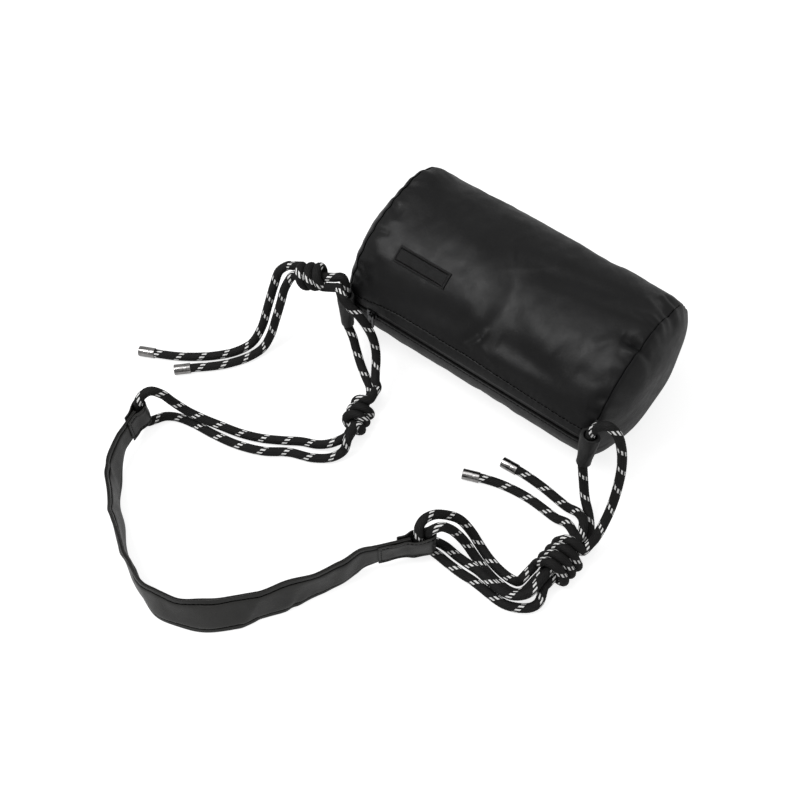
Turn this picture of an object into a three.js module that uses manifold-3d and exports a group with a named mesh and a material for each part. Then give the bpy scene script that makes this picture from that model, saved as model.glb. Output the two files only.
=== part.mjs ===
// A small barrel bag of coated nylon that is carried by two knotted ropes and a shoulder strap.
// Millimetres, +Z up. The bag lies on its back on the floor with its zip facing -Y.
// The origin is on the floor under the middle of the bag, and +X runs along the bag's axis.

import * as THREE from 'three';
import { mergeVertices } from 'three/addons/utils/BufferGeometryUtils.js';
import Module from 'manifold-3d';

const wasm = await Module();
wasm.setup();

// General clearances
const seat = 0.3;
const overrun = 1;

// Bag body
const bagHalfLength = 125;
const bagHalfDepth = 80;
const bagHalfHeight = 70.5;
const bagSag = 2.5;
const endTaper = 15;
const endDrawShare = 0.04;
const endBulge = 14;
const shellWall = 1.6;
const liningWall = 0.8;
const girthSteps = 48;
const domeRings = 4;
const domePower = 2.4;
const domeEase = 0.2;

// Zip
const zipSlot = 2.6;
const tapeWidth = 12;
const tapeWall = 0.6;
const tapeGap = 2;
const toothGap = 1.6;
const toothReach = 1.5;
const toothPitch = 2.9;
const toothShare = 0.36;
const toothSpine = 1.4;
const toothDepth = 1.6;
const toothEase = 0.12;
const zipEndMargin = 24;
const stopLength = 1.6;
const bottomStopLength = 2.5;

// Zip slider and puller
const sliderLength = 10;
const sliderParkGap = 4;
const sliderTopWidth = 7.6;
const sliderTopWall = 1.4;
const sliderNoseShare = 0.55;
const sliderFloorWall = 1.2;
const sliderFlange = 0.9;
const sliderNeck = 1;
const sliderNeckLength = 3.4;
const sliderRunning = 0.4;
const studRadius = 1.1;
const studHeadRadius = 2;
const studHeadWall = 1;
const pullerLength = 18;
const pullerWidth = 5.6;
const pullerWall = 1.4;
const pullerEyeRadius = 3.2;
const pullerSlotWidth = 2.2;
const pullerSlotLength = 7;
const pullerSlotStart = 6;

// Label patch on the front, left of the middle
const labelLength = 53;
const labelHeight = 14;
const labelWall = 0.8;
const labelFromEnd = 58;
const labelClimb = 64;

// Ropes
const ropeDiameter = 8;
const ropeSides = 8;
const ropeStep = 21;
const turnStep = (15 * Math.PI) / 180;
const fineStep = 0.5;
const arcDivisions = 40;
const gapStride = 2;
const knotRamp = 7;
const knotPitch = 8.9;
const knotReach = 8.7;
const strandSpacing = 8.7;
const onFloor = 4.25;
const inTip = 4.9;
const coreLead = 6;
const windingLead = 4;
const foldLead = 2.5;
const tunnelLead = 3;

// Rope ends
const tipLength = 15;
const tipDiameter = 9.7;
const tipBoreClearance = 0.42;
const tipBoreDepth = 11;
const tipChamfer = 0.7;
const tipCrimpDepth = 0.2;
const tipSides = 16;

// Rope tunnels at the ends of the zip
const tunnelHeight = 42;
const tunnelHalfWidth = 7.4;
const tunnelHalfDepth = 6.2;
const tunnelWall = 1.4;
const tunnelTab = 2.4;
const tunnelStandOff = 0.8;
const leftTunnelInset = 3.5;
const rightTunnelInset = -3.5;
const leftTunnelDrop = 5;
const rightTunnelDrop = -6;

// Shoulder strap
const strapHeight = 38;
const strapEndHeight = 27;
const strapEndLift = 11;
const strapEndRun = 30;
const strapFaceWall = 1.2;
const strapCoreWall = 1.6;
const strapCoreMargin = 4;
const strapSteps = 36;
const foldWall = 1.3;
const foldClearance = 1.1;
const leftFlap = 15;
const rightFlap = 28;

// Worked out sizes that several pieces share
const ropeRadius = ropeDiameter / 2;
const bagMiddle = bagHalfHeight - bagSag;
const tapeInset = shellWall + seat;
const liningInset = shellWall + seat;
const tapeEdge = tapeGap / 2 + tapeWidth;
const teethOuter = toothGap / 2 + toothReach + toothSpine;
const teethTopDepth = tapeInset + tapeWall + seat + toothEase;
const teethBottomDepth = teethTopDepth + toothDepth;
const teethStart = zipEndMargin - bagHalfLength;
const teethLength = -2 * teethStart;
const sliderStart = teethStart + sliderParkGap;
const labelMiddle = labelFromEnd - bagHalfLength;
const seamPlane = bagHalfLength + seat;

// Cloth colours and finishes
const coatedNylon = new THREE.MeshStandardMaterial({ color: 0x1b1b1d, roughness: 0.55, metalness: 0 });
const liningCloth = new THREE.MeshStandardMaterial({ color: 0x141416, roughness: 0.8, metalness: 0 });
const tapeCloth = new THREE.MeshStandardMaterial({ color: 0x0e0e10, roughness: 0.85, metalness: 0 });
const toothNylon = new THREE.MeshStandardMaterial({ color: 0x101012, roughness: 0.4, metalness: 0 });
const blackMetal = new THREE.MeshStandardMaterial({ color: 0x0c0c0e, roughness: 0.25, metalness: 0.8 });
const labelCloth = new THREE.MeshStandardMaterial({ color: 0x131315, roughness: 0.7, metalness: 0 });
const ropeBraid = new THREE.MeshStandardMaterial({ color: 0x1c1b1b, roughness: 0.9, metalness: 0 });
const tipMetal = new THREE.MeshStandardMaterial({ color: 0x8d8d90, roughness: 0.3, metalness: 1 });
const strapCloth = new THREE.MeshStandardMaterial({ color: 0x1e1e20, roughness: 0.6, metalness: 0 });
const strapFoam = new THREE.MeshStandardMaterial({ color: 0x2a2a2c, roughness: 0.95, metalness: 0 });

const bag = new THREE.Group();

// Adds one named piece to the bag
function addPiece(name, geometry, material) {
  const mesh = new THREE.Mesh(geometry, material);
  mesh.name = name;
  bag.add(mesh);
  return mesh;
}

// Keeps only the positions of a geometry and shares the vertices that coincide
function weld(geometry) {
  const bare = geometry.clone();
  bare.deleteAttribute('normal');
  bare.deleteAttribute('uv');
  return mergeVertices(bare, 1e-4);
}

function toSolid(geometry) {
  const welded = weld(geometry);
  const vertProperties = new Float32Array(welded.attributes.position.array);
  const triVerts = new Uint32Array(welded.index.array);
  return new wasm.Manifold(new wasm.Mesh({ numProp: 3, vertProperties, triVerts }));
}

function fromSolid(solid) {
  const mesh = solid.getMesh();
  const geometry = new THREE.BufferGeometry();
  geometry.setAttribute('position', new THREE.BufferAttribute(new Float32Array(mesh.vertProperties), 3));
  geometry.setIndex(new THREE.BufferAttribute(new Uint32Array(mesh.triVerts), 1));
  return geometry;
}

// Turns a list of faces round if they point inwards
function faceOut(geometry) {
  const position = geometry.attributes.position;
  const index = geometry.index.array;
  const a = new THREE.Vector3();
  const b = new THREE.Vector3();
  const c = new THREE.Vector3();
  let volume = 0;
  for (let i = 0; i < index.length; i += 3) {
    a.fromBufferAttribute(position, index[i]);
    b.fromBufferAttribute(position, index[i + 1]);
    c.fromBufferAttribute(position, index[i + 2]);
    volume += a.dot(b.cross(c));
  }
  if (volume < 0) {
    for (let i = 0; i < index.length; i += 3) {
      [index[i + 1], index[i + 2]] = [index[i + 2], index[i + 1]];
    }
  }
  return geometry;
}

// A closed sheet between two grids of points that have the same rows and columns
function sheetBetween(front, back) {
  const rows = front.length;
  const columns = front[0].length;
  const points = [...front.flat(), ...back.flat()];
  const at = (side, row, column) => side * rows * columns + row * columns + column;
  const faces = [];
  const quad = (p, q, r, s) => faces.push(p, q, r, p, r, s);
  for (let row = 0; row < rows - 1; row += 1) {
    for (let column = 0; column < columns - 1; column += 1) {
      quad(at(0, row, column), at(0, row, column + 1), at(0, row + 1, column + 1), at(0, row + 1, column));
      quad(at(1, row, column), at(1, row + 1, column), at(1, row + 1, column + 1), at(1, row, column + 1));
    }
    quad(at(0, row, 0), at(0, row + 1, 0), at(1, row + 1, 0), at(1, row, 0));
    const last = columns - 1;
    quad(at(0, row, last), at(1, row, last), at(1, row + 1, last), at(0, row + 1, last));
  }
  for (let column = 0; column < columns - 1; column += 1) {
    const end = rows - 1;
    quad(at(0, 0, column), at(1, 0, column), at(1, 0, column + 1), at(0, 0, column + 1));
    quad(at(0, end, column), at(0, end, column + 1), at(1, end, column + 1), at(1, end, column));
  }
  const geometry = new THREE.BufferGeometry();
  geometry.setFromPoints(points);
  geometry.setIndex(faces);
  return faceOut(geometry);
}

// A flat outline with holes, extruded straight up from the base plane
function prism(outline, height, holes = []) {
  const shape = new THREE.Shape(outline);
  for (const hole of holes) {
    shape.holes.push(new THREE.Path(hole));
  }
  return new THREE.ExtrudeGeometry(shape, { depth: height, bevelEnabled: false });
}

function rectangle(left, right, bottom, top) {
  return [
    new THREE.Vector2(left, bottom),
    new THREE.Vector2(right, bottom),
    new THREE.Vector2(right, top),
    new THREE.Vector2(left, top),
  ];
}

function oval(halfWidth, halfHeight, steps, middleX = 0, middleY = 0) {
  const points = [];
  for (let i = 0; i < steps; i += 1) {
    const angle = (i / steps) * 2 * Math.PI;
    points.push(new THREE.Vector2(
      middleX + halfWidth * Math.cos(angle),
      middleY + halfHeight * Math.sin(angle),
    ));
  }
  return points;
}

// How much the bag's section is drawn in at a distance along its axis
function drawnIn(x) {
  const past = Math.max(0, Math.abs(x) - (bagHalfLength - endTaper)) / endTaper;
  return 1 - endDrawShare * Math.min(1, past) ** 2;
}

// A point of the bag's section. The angle starts at the zip and climbs over the front and the top.
function sectionPoint(x, angle, inset) {
  const across = bagHalfDepth * drawnIn(x) - inset;
  const high = bagHalfHeight * drawnIn(x) - inset;
  const height = bagMiddle + high * Math.sin(angle);
  return new THREE.Vector3(x, -across * Math.cos(angle), Math.max(inset, height));
}

// The angle that lies a given distance up from the zip along the cloth
function angleAbove(distance) {
  return distance / bagHalfHeight;
}

function evenly(from, to, steps) {
  return Array.from({ length: steps + 1 }, (_, i) => from + ((to - from) * i) / steps);
}

// Cloth that follows the bag's section, from one angle to another
function wrappedCloth(stations, angles, outerInset, innerInset) {
  const grid = (inset) => stations.map((x) => angles.map((angle) => sectionPoint(x, angle, inset)));
  return sheetBetween(grid(outerInset), grid(innerInset));
}

const bodyStationShares = [-1, -0.965, -0.93, -0.88, 0.88, 0.93, 0.965, 1];
const bodyStations = bodyStationShares.map((share) => share * bagHalfLength);

function buildBody() {
  const edge = angleAbove(zipSlot / 2);
  const angles = evenly(edge, 2 * Math.PI - edge, girthSteps);
  addPiece('body_panel', wrappedCloth(bodyStations, angles, 0, shellWall), coatedNylon);

  const liningEdge = angleAbove(tapeEdge + seat);
  const covered = angles.filter((angle) => angle > liningEdge && angle < 2 * Math.PI - liningEdge);
  const liningAngles = [liningEdge, ...covered, 2 * Math.PI - liningEdge];
  const lining = wrappedCloth(bodyStations, liningAngles, liningInset, liningInset + liningWall);
  addPiece('lining_body', lining, liningCloth);
}

// A domed end disc, one cloth thick, whose rim meets the end of the body
function domedEnd(outerInset, innerInset) {
  const rim = 1 - endDrawShare;
  const profile = [];
  const curve = (inset, shares) => {
    for (const share of shares) {
      const radius = share * (bagHalfDepth * rim - inset);
      const height = (endBulge - inset) * (1 - share ** domePower);
      profile.push(new THREE.Vector2(radius, height));
    }
  };
  const shares = evenly(0, 1, domeRings);
  curve(innerInset, shares);
  curve(outerInset, [...shares].reverse());
  const disc = new THREE.LatheGeometry(profile, girthSteps / 2);
  const position = disc.attributes.position;
  for (let i = 0; i < position.count; i += 1) {
    const across = position.getX(i);
    const out = position.getY(i);
    const up = position.getZ(i);
    const radius = Math.hypot(across, up);
    const inset = THREE.MathUtils.clamp(bagHalfDepth * rim - radius, outerInset, innerInset);
    const squash = radius > 0 ? (bagHalfHeight * rim - inset) / (bagHalfDepth * rim - inset) : 1;
    position.setXYZ(i, seamPlane + out, across, bagMiddle + up * squash);
  }
  const welded = weld(disc);
  return faceOut(welded);
}

function buildEnds() {
  const inset = liningInset + domeEase;
  for (const [side, turn] of [['right', 0], ['left', Math.PI]]) {
    const shell = addPiece(`end_panel_${side}`, domedEnd(0, shellWall), coatedNylon);
    const inner = domedEnd(inset, inset + liningWall);
    const lining = addPiece(`lining_end_${side}`, inner, liningCloth);
    shell.rotation.z = turn;
    lining.rotation.z = turn;
  }
}

// Places a prism that was drawn in the zip's own plane: x along the zip, y up the bag, z inwards
function onZip(geometry, depth) {
  const placed = geometry.clone();
  placed.applyMatrix4(new THREE.Matrix4().makeBasis(
    new THREE.Vector3(1, 0, 0),
    new THREE.Vector3(0, 0, 1),
    new THREE.Vector3(0, -1, 0),
  ));
  placed.translate(0, depth - bagHalfDepth, bagMiddle);
  return placed;
}

// One row of zip teeth: a spine along the tape's edge with a comb that points at the other row
function toothRow(side, shift) {
  const tip = toothGap / 2;
  const root = tip + toothReach;
  const outer = root + toothSpine;
  const outline = [];
  const count = Math.floor(teethLength / toothPitch) - 1;
  const end = teethStart + teethLength;
  outline.push(new THREE.Vector2(teethStart, side * outer));
  outline.push(new THREE.Vector2(teethStart, side * root));
  for (let i = 0; i < count; i += 1) {
    const middle = teethStart + toothPitch * (i + shift);
    const half = (toothPitch * toothShare) / 2;
    outline.push(new THREE.Vector2(middle - half, side * root));
    outline.push(new THREE.Vector2(middle - half, side * tip));
    outline.push(new THREE.Vector2(middle + half, side * tip));
    outline.push(new THREE.Vector2(middle + half, side * root));
  }
  outline.push(new THREE.Vector2(end, side * root));
  outline.push(new THREE.Vector2(end, side * outer));
  return onZip(prism(outline, toothDepth), teethBottomDepth);
}

function buildZip() {
  const rowShiftShares = { upper: 0.5, lower: 1 };
  for (const [name, side] of [['upper', 1], ['lower', -1]]) {
    const near = angleAbove(tapeGap / 2) * side;
    const far = angleAbove(tapeEdge) * side;
    const tape = wrappedCloth(bodyStations, evenly(near, far, 4), tapeInset, tapeInset + tapeWall);
    addPiece(`zip_tape_${name}`, tape, tapeCloth);
    addPiece(`zip_teeth_${name}`, toothRow(side, rowShiftShares[name]), toothNylon);

    const stopEnd = teethStart - seat;
    const inner = side * (toothGap / 2);
    const outer = side * teethOuter;
    const topStop = prism(
      rectangle(stopEnd - stopLength, stopEnd, Math.min(inner, outer), Math.max(inner, outer)),
      toothDepth,
    );
    addPiece(`zip_top_stop_${name}`, onZip(topStop, teethBottomDepth), blackMetal);
  }
  const stopStart = teethStart + teethLength + seat;
  const bottomStop = prism(
    rectangle(stopStart, stopStart + bottomStopLength, -teethOuter, teethOuter),
    toothDepth,
  );
  addPiece('zip_bottom_stop', onZip(bottomStop, teethBottomDepth), blackMetal);
}

// The slider: a shield outside, a neck through the slot and a channel round the teeth inside
function buildSlider() {
  const half = sliderLength / 2;
  const nose = sliderNoseShare * sliderTopWidth;
  const shield = [
    new THREE.Vector2(-half, -sliderTopWidth / 2),
    new THREE.Vector2(half - nose / 2, -sliderTopWidth / 2),
    new THREE.Vector2(half, -nose / 2),
    new THREE.Vector2(half, nose / 2),
    new THREE.Vector2(half - nose / 2, sliderTopWidth / 2),
    new THREE.Vector2(-half, sliderTopWidth / 2),
    new THREE.Vector2(-half - seat, 0),
  ];
  const channelInner = teethOuter + sliderRunning;
  const channelOuter = channelInner + sliderFlange;
  const floorTop = teethBottomDepth + seat;
  const floorBottom = floorTop + sliderFloorWall;
  const topLow = -sliderRunning;
  const topHigh = topLow - sliderTopWall;
  const neck = rectangle(-half, -half + sliderNeckLength, -sliderNeck / 2, sliderNeck / 2);
  const studHigh = topHigh - pullerWall - 2 * sliderRunning;

  let body = toSolid(onZip(prism(shield, sliderTopWall), topLow));
  const join = (geometry) => {
    body = body.add(toSolid(geometry));
  };
  join(onZip(prism(neck, floorBottom - topHigh), floorBottom));
  join(onZip(prism(rectangle(-half, half, -channelOuter, channelOuter), sliderFloorWall), floorBottom));
  for (const side of [-1, 1]) {
    const low = Math.min(side * channelInner, side * channelOuter);
    const high = Math.max(side * channelInner, side * channelOuter);
    const flangeDepth = floorBottom - teethTopDepth - sliderRunning;
    join(onZip(prism(rectangle(-half, half, low, high), flangeDepth), floorBottom));
  }
  join(onZip(prism(oval(studRadius, studRadius, 16), topLow - studHigh), topLow));
  join(onZip(prism(oval(studHeadRadius, studHeadRadius, 20), studHeadWall), studHigh));
  const slider = addPiece('zip_slider', fromSolid(body), blackMetal);
  slider.position.x = sliderStart;

  // The puller hangs on the stud and swings flat against the bag
  const eyeTop = oval(pullerEyeRadius, pullerEyeRadius, 24).filter((point) => point.y >= 0);
  const outline = [
    ...eyeTop,
    new THREE.Vector2(-pullerEyeRadius, 0),
    new THREE.Vector2(-pullerWidth / 2, -pullerLength + pullerWidth / 2),
    new THREE.Vector2(-pullerWidth / 4, -pullerLength),
    new THREE.Vector2(pullerWidth / 4, -pullerLength),
    new THREE.Vector2(pullerWidth / 2, -pullerLength + pullerWidth / 2),
  ];
  const eye = oval(studRadius + sliderRunning, studRadius + sliderRunning, 20);
  const slotEnd = pullerSlotStart + pullerSlotLength;
  const slot = rectangle(-pullerSlotWidth / 2, pullerSlotWidth / 2, -slotEnd, -pullerSlotStart);
  const pullerLow = topHigh - sliderRunning;
  const puller = addPiece(
    'zip_puller',
    onZip(prism(outline, pullerWall, [eye, slot]), pullerLow),
    blackMetal,
  );
  puller.position.x = sliderStart;
}

function buildLabel() {
  const half = labelHeight / 2;
  const angles = evenly(angleAbove(labelClimb - half), angleAbove(labelClimb + half), 3);
  const stations = evenly(labelMiddle - labelLength / 2, labelMiddle + labelLength / 2, 2);
  addPiece('label_patch', wrappedCloth(stations, angles, -seat - labelWall, -seat), labelCloth);
}

// Rope tunnels: a folded strip with a round pocket for the rope and a tab that goes to the end seam
const tunnelMiddleY = -(bagHalfDepth + tunnelStandOff + tunnelHalfDepth);
const tunnels = {
  left: { x: -(bagHalfLength - leftTunnelInset), middle: bagMiddle - leftTunnelDrop, side: -1 },
  right: { x: bagHalfLength - rightTunnelInset, middle: bagMiddle - rightTunnelDrop, side: 1 },
};

function buildTunnels() {
  const foot = -(bagHalfDepth * drawnIn(bagHalfLength - tunnelTab / 2) + seat);
  for (const [name, tunnel] of Object.entries(tunnels)) {
    const tabMiddle = tunnel.side * (bagHalfLength + seat / 2);
    const pocketWidth = tunnelHalfWidth - tunnelWall;
    const pocketDepth = tunnelHalfDepth - tunnelWall;
    const tab = rectangle(tabMiddle - tunnelTab / 2, tabMiddle + tunnelTab / 2, tunnelMiddleY, foot);
    const outline = oval(tunnelHalfWidth, tunnelHalfDepth, 28, tunnel.x, tunnelMiddleY);
    const outside = toSolid(prism(outline, tunnelHeight));
    const hole = oval(pocketWidth, pocketDepth, 28, tunnel.x, tunnelMiddleY);
    const pocket = prism(hole, tunnelHeight + 2 * overrun);
    pocket.translate(0, 0, -overrun);
    const solid = outside.add(toSolid(prism(tab, tunnelHeight))).subtract(toSolid(pocket));
    const piece = addPiece(`rope_tunnel_${name}`, fromSolid(solid), coatedNylon);
    piece.position.z = tunnel.middle - tunnelHeight / 2;
  }
}

// A place on or over the floor, measured from the foot of a tunnel
function beside(tunnel, x, y, z) {
  return new THREE.Vector3(tunnel.x + x, tunnelMiddleY + y, z);
}

// Knots. One strand winds round straight core strands, and each knot has its own small frame:
// along runs from the tunnel side to the far side, and side and lift stand square to it.
function knotFrame(centre, axis, coreCount, turns, startShare) {
  const along = new THREE.Vector3(...axis).normalize();
  const side = new THREE.Vector3(0, 0, 1).cross(along).normalize();
  const lift = new THREE.Vector3().crossVectors(along, side);
  return { centre, along, side, lift, coreCount, turns, startShare };
}

const knots = {
  leftUpper: knotFrame(beside(tunnels.left, -29.5, -8, 93.5), [-0.9, -0.26, -0.35], 1, 2.5, 0.4),
  leftLower: knotFrame(beside(tunnels.left, 58, -58, 12.95), [0.22, -1, 0], 1, 3, 0.667),
  right: knotFrame(beside(tunnels.right, 27.5, -69, 15.5), [-0.1, -1, 0], 3, 3.44, 0.28),
};

// Where the core strands of a knot lie round its middle
function coreOffset(knot, index) {
  if (knot.coreCount === 1) {
    return new THREE.Vector2(0, 0);
  }
  const turn = (2 * Math.PI) / knot.coreCount;
  const radius = strandSpacing / (2 * Math.sin(turn / 2));
  const angle = index * turn - turn / 4;
  return new THREE.Vector2(radius * Math.cos(angle), radius * Math.sin(angle));
}

// The length of the line that the winding strand follows round the core
function windingGirth(knot) {
  const sides = knot.coreCount > 1 ? knot.coreCount * strandSpacing : 0;
  return 2 * Math.PI * knotReach + sides;
}

// A point of that line, at a distance measured along it
function windingPoint(knot, distance) {
  const turn = (2 * Math.PI) / knot.coreCount;
  const corner = knotReach * turn;
  const flat = knot.coreCount > 1 ? strandSpacing : 0;
  const index = Math.floor(distance / (corner + flat));
  const past = distance - index * (corner + flat);
  const first = knot.coreCount > 1 ? -turn / 4 : 0;
  const angle = first + (index - 0.5) * turn + Math.min(past, corner) / knotReach;
  const base = coreOffset(knot, index);
  if (past > corner) {
    base.lerp(coreOffset(knot, index + 1), (past - corner) / flat);
  }
  return base.add(new THREE.Vector2(knotReach * Math.cos(angle), knotReach * Math.sin(angle)));
}

// Walks along the winding strand: straight in, a swing round the core, the turns, and straight out
function windingLine(knot) {
  const girth = windingGirth(knot);
  const steepest = Math.atan(girth / knotPitch);
  const ramp = evenly(0, 1, Math.round(knotRamp / fineStep)).map(
    (share) => steepest * THREE.MathUtils.smoothstep(share, 0, 1),
  );
  const swung = ramp.reduce((sum, angle) => sum + Math.sin(angle) * fineStep, 0);
  const steady = Math.round((knot.turns * girth - 2 * swung) / (Math.sin(steepest) * fineStep));
  const straight = new Array(Math.round(ropeDiameter / fineStep)).fill(0);
  const turns = new Array(steady).fill(steepest);
  const walked = [{ axial: 0, round: 0 }];
  for (const angle of [...straight, ...ramp, ...turns, ...[...ramp].reverse(), ...straight]) {
    const last = walked.at(-1);
    walked.push({
      axial: last.axial + Math.cos(angle) * fineStep,
      round: last.round + Math.sin(angle) * fineStep,
    });
  }
  const length = walked.at(-1).axial;
  return walked.map(({ axial, round }) => {
    const spot = windingPoint(knot, knot.startShare * girth + round);
    return knot.centre.clone()
      .addScaledVector(knot.along, axial - length / 2)
      .addScaledVector(knot.side, spot.x)
      .addScaledVector(knot.lift, spot.y);
  });
}

for (const knot of Object.values(knots)) {
  knot.line = windingLine(knot);
  const span = knot.line.at(-1).clone().sub(knot.line[0]).dot(knot.along);
  knot.halfBarrel = span / 2 - ropeDiameter;
}

// The points that take a core strand straight through a knot. The way is 1 towards the far side.
function throughKnot(knot, index, way) {
  const spot = coreOffset(knot, index);
  const ends = [coreLead, coreLead / 2, 0].map((lead) => knot.halfBarrel + lead);
  return [...ends.map((end) => -end), ...ends.reverse()].map((end) => knot.centre.clone()
    .addScaledVector(knot.along, way * end)
    .addScaledVector(knot.side, spot.x)
    .addScaledVector(knot.lift, spot.y));
}

const strapEnds = {
  left: {
    middle: beside(tunnels.left, -90.5, -177, strapEndLift),
    heading: [-0.2, 0.98],
    ropes: 1,
    flap: leftFlap,
  },
  right: {
    middle: beside(tunnels.right, -66.2, -123.6, strapEndLift),
    heading: [0.62, 0.785],
    ropes: 2,
    flap: rightFlap,
  },
};
const foldLow = strapEndLift;
const foldHigh = strapEndLift + strapEndHeight;

// A point on the axis of a strap end's pocket, for the first or the second rope in it
function foldPoint(end, index, height) {
  const [alongX, alongY] = end.heading;
  const back = index * strandSpacing;
  return new THREE.Vector3(end.middle.x - alongX * back, end.middle.y - alongY * back, height);
}

// Takes a rope straight down through a strap end's pocket
function downThroughFold(end, index) {
  const heights = [foldHigh + foldLead, foldHigh, (foldLow + foldHigh) / 2, foldLow];
  return heights.map((height) => foldPoint(end, index, height));
}

// Takes a rope straight up through a tunnel
function upThroughTunnel(tunnel) {
  const low = tunnel.middle - tunnelHeight / 2;
  const high = tunnel.middle + tunnelHeight / 2;
  return [low - tunnelLead, low, tunnel.middle, high, high + tunnelLead]
    .map((height) => new THREE.Vector3(tunnel.x, tunnelMiddleY, height));
}

const at = (tunnel, list) => list.map(([x, y, z]) => beside(tunnel, x, y, z));

function smooth(points) {
  return new THREE.CatmullRomCurve3(points, false, 'centripetal');
}

// The middle line of a whole rope. Free stretches run smoothly through their points, and they
// leave and meet a knot's winding in line with its straight ends.
function ropeLine(stretches) {
  const line = [];
  stretches.forEach((stretch, i) => {
    if (stretch.winding) {
      line.push(...stretch.winding);
      return;
    }
    const points = [...stretch.free];
    const before = stretches[i - 1]?.winding;
    const after = stretches[i + 1]?.winding;
    if (before) {
      const way = before.at(-1).clone().sub(before.at(-2)).setLength(windingLead);
      points.unshift(before.at(-1).clone(), before.at(-1).clone().add(way));
    }
    if (after) {
      const way = after[1].clone().sub(after[0]).setLength(windingLead);
      points.push(after[0].clone().sub(way), after[0].clone());
    }
    const curve = smooth(points);
    curve.arcLengthDivisions = points.length * arcDivisions;
    line.push(...curve.getSpacedPoints(Math.round(curve.getLength() / fineStep)));
  });
  return line.filter((point, i) => i === 0 || point.distanceTo(line[i - 1]) > fineStep / 2);
}

// Keeps as many points of a line as its bends need
function sparse(line) {
  const kept = [line[0]];
  let turned = 0;
  let run = 0;
  for (let i = 1; i < line.length - 1; i += 1) {
    const arriving = line[i].clone().sub(line[i - 1]);
    const leaving = line[i + 1].clone().sub(line[i]);
    turned += arriving.angleTo(leaving);
    run += arriving.length();
    if (turned >= turnStep || run >= ropeStep) {
      kept.push(line[i]);
      turned = 0;
      run = 0;
    }
  }
  kept.push(line.at(-1));
  return kept;
}

// A closed tube with its rings carried along the path without twist
function closedTube(path, radius, sides) {
  const points = [];
  const faces = [];
  let across = new THREE.Vector3(0, 0, 1).cross(path[1].clone().sub(path[0]));
  for (let i = 0; i < path.length; i += 1) {
    const before = path[Math.max(0, i - 1)];
    const after = path[Math.min(path.length - 1, i + 1)];
    const arriving = path[i].clone().sub(before).normalize();
    const leaving = after.clone().sub(path[i]).normalize();
    const forward = arriving.add(leaving).normalize();
    across.addScaledVector(forward, -across.dot(forward)).normalize();
    const up = new THREE.Vector3().crossVectors(forward, across);
    for (let k = 0; k < sides; k += 1) {
      const angle = (k / sides) * 2 * Math.PI;
      points.push(path[i].clone()
        .addScaledVector(across, radius * Math.cos(angle))
        .addScaledVector(up, radius * Math.sin(angle)));
    }
  }
  const last = path.length - 1;
  for (let i = 0; i < last; i += 1) {
    for (let k = 0; k < sides; k += 1) {
      const a = i * sides + k;
      const b = i * sides + ((k + 1) % sides);
      faces.push(a, b, b + sides, a, b + sides, a + sides);
    }
  }
  for (let k = 1; k < sides - 1; k += 1) {
    faces.push(0, k + 1, k);
    faces.push(last * sides, last * sides + k, last * sides + k + 1);
  }
  const geometry = new THREE.BufferGeometry();
  geometry.setFromPoints(points);
  geometry.setIndex(faces);
  return faceOut(geometry);
}

// The least gap between two ropes, or between stretches of one rope that aren't neighbours on it
function leastGap(line, other) {
  let least = Infinity;
  let place = line[0];
  const apart = line === other ? Math.round((2 * ropeDiameter) / fineStep) : 0;
  for (let i = 0; i < line.length; i += gapStride) {
    for (let j = line === other ? i + apart : 0; j < other.length; j += gapStride) {
      const gap = line[i].distanceTo(other[j]) - ropeDiameter;
      if (gap < least) {
        least = gap;
        place = line[i];
      }
    }
  }
  return `${least.toFixed(2)} mm near ${place.toArray().map((value) => value.toFixed(0)).join(', ')}`;
}

function lineLength(line) {
  return line.reduce((sum, point, i) => (i ? sum + point.distanceTo(line[i - 1]) : sum), 0);
}

// The metal end of a rope, a crimped cup that the rope goes into
function addTip(name, end, inward) {
  const outer = tipDiameter / 2;
  const bore = ropeRadius + tipBoreClearance;
  const crimp = outer - tipCrimpDepth;
  const ringShares = [0.28, 0.36, 0.44];
  const profile = [
    [0, tipLength],
    [outer - tipChamfer, tipLength],
    [outer, tipLength - tipChamfer],
    [outer, tipLength * ringShares[2]],
    [crimp, tipLength * ringShares[1]],
    [outer, tipLength * ringShares[0]],
    [outer, 0],
    [bore, 0],
    [bore, tipBoreDepth],
    [0, tipBoreDepth],
  ].map(([radius, height]) => new THREE.Vector2(radius, height));
  const cup = faceOut(weld(new THREE.LatheGeometry(profile, tipSides)));
  const tip = addPiece(name, cup, tipMetal);
  const outward = end.clone().sub(inward).normalize();
  tip.quaternion.setFromUnitVectors(new THREE.Vector3(0, 1, 0), outward);
  tip.position.copy(end).addScaledVector(outward, -(tipBoreDepth - seat));
}

// Routes of the free rope, chosen by hand, each in the order in which its rope runs.
// Sideways and forwards they are measured from the tunnel that the rope goes through.
const leftTailRoute = at(tunnels.left, [
  [-148.5, -120.5, inTip], [-141.5, -117, inTip], [-134.5, -113.5, inTip], [-121.5, -106, onFloor],
  [-106.5, -95.5, onFloor], [-92, -82.5, onFloor], [-80.5, -67.5, onFloor], [-74, -53, 7],
  [-70.5, -41, 21], [-68.5, -31, 44], [-65.5, -22.5, 68], [-62.6, -15.6, 84.6],
]);
const leftOuterRoute = at(tunnels.left, [
  [6, -11.8, 96.2], [14.5, -11.6, 88.5], [22.5, -10, 80.5], [30, -8.8, 70], [35.5, -8, 57.5],
  [40, -9.6, 43.5], [43.5, -13.6, 35], [47.3, -19.5, 28.5], [52.2, -26, 23.6],
]);
const strapLowerRoute = at(tunnels.left, [
  [68.5, -93, 9], [63, -102.5, 5.2], [50, -112.5, onFloor], [29.5, -121, onFloor], [10.5, -134, onFloor],
  [-12.5, -143, onFloor], [-35.5, -147.5, onFloor], [-57.5, -150, onFloor], [-73.5, -154, onFloor],
  [-83, -160, onFloor], [-88.1, -168.2, onFloor], [-89.9, -174.2, 6.4],
]);
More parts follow.
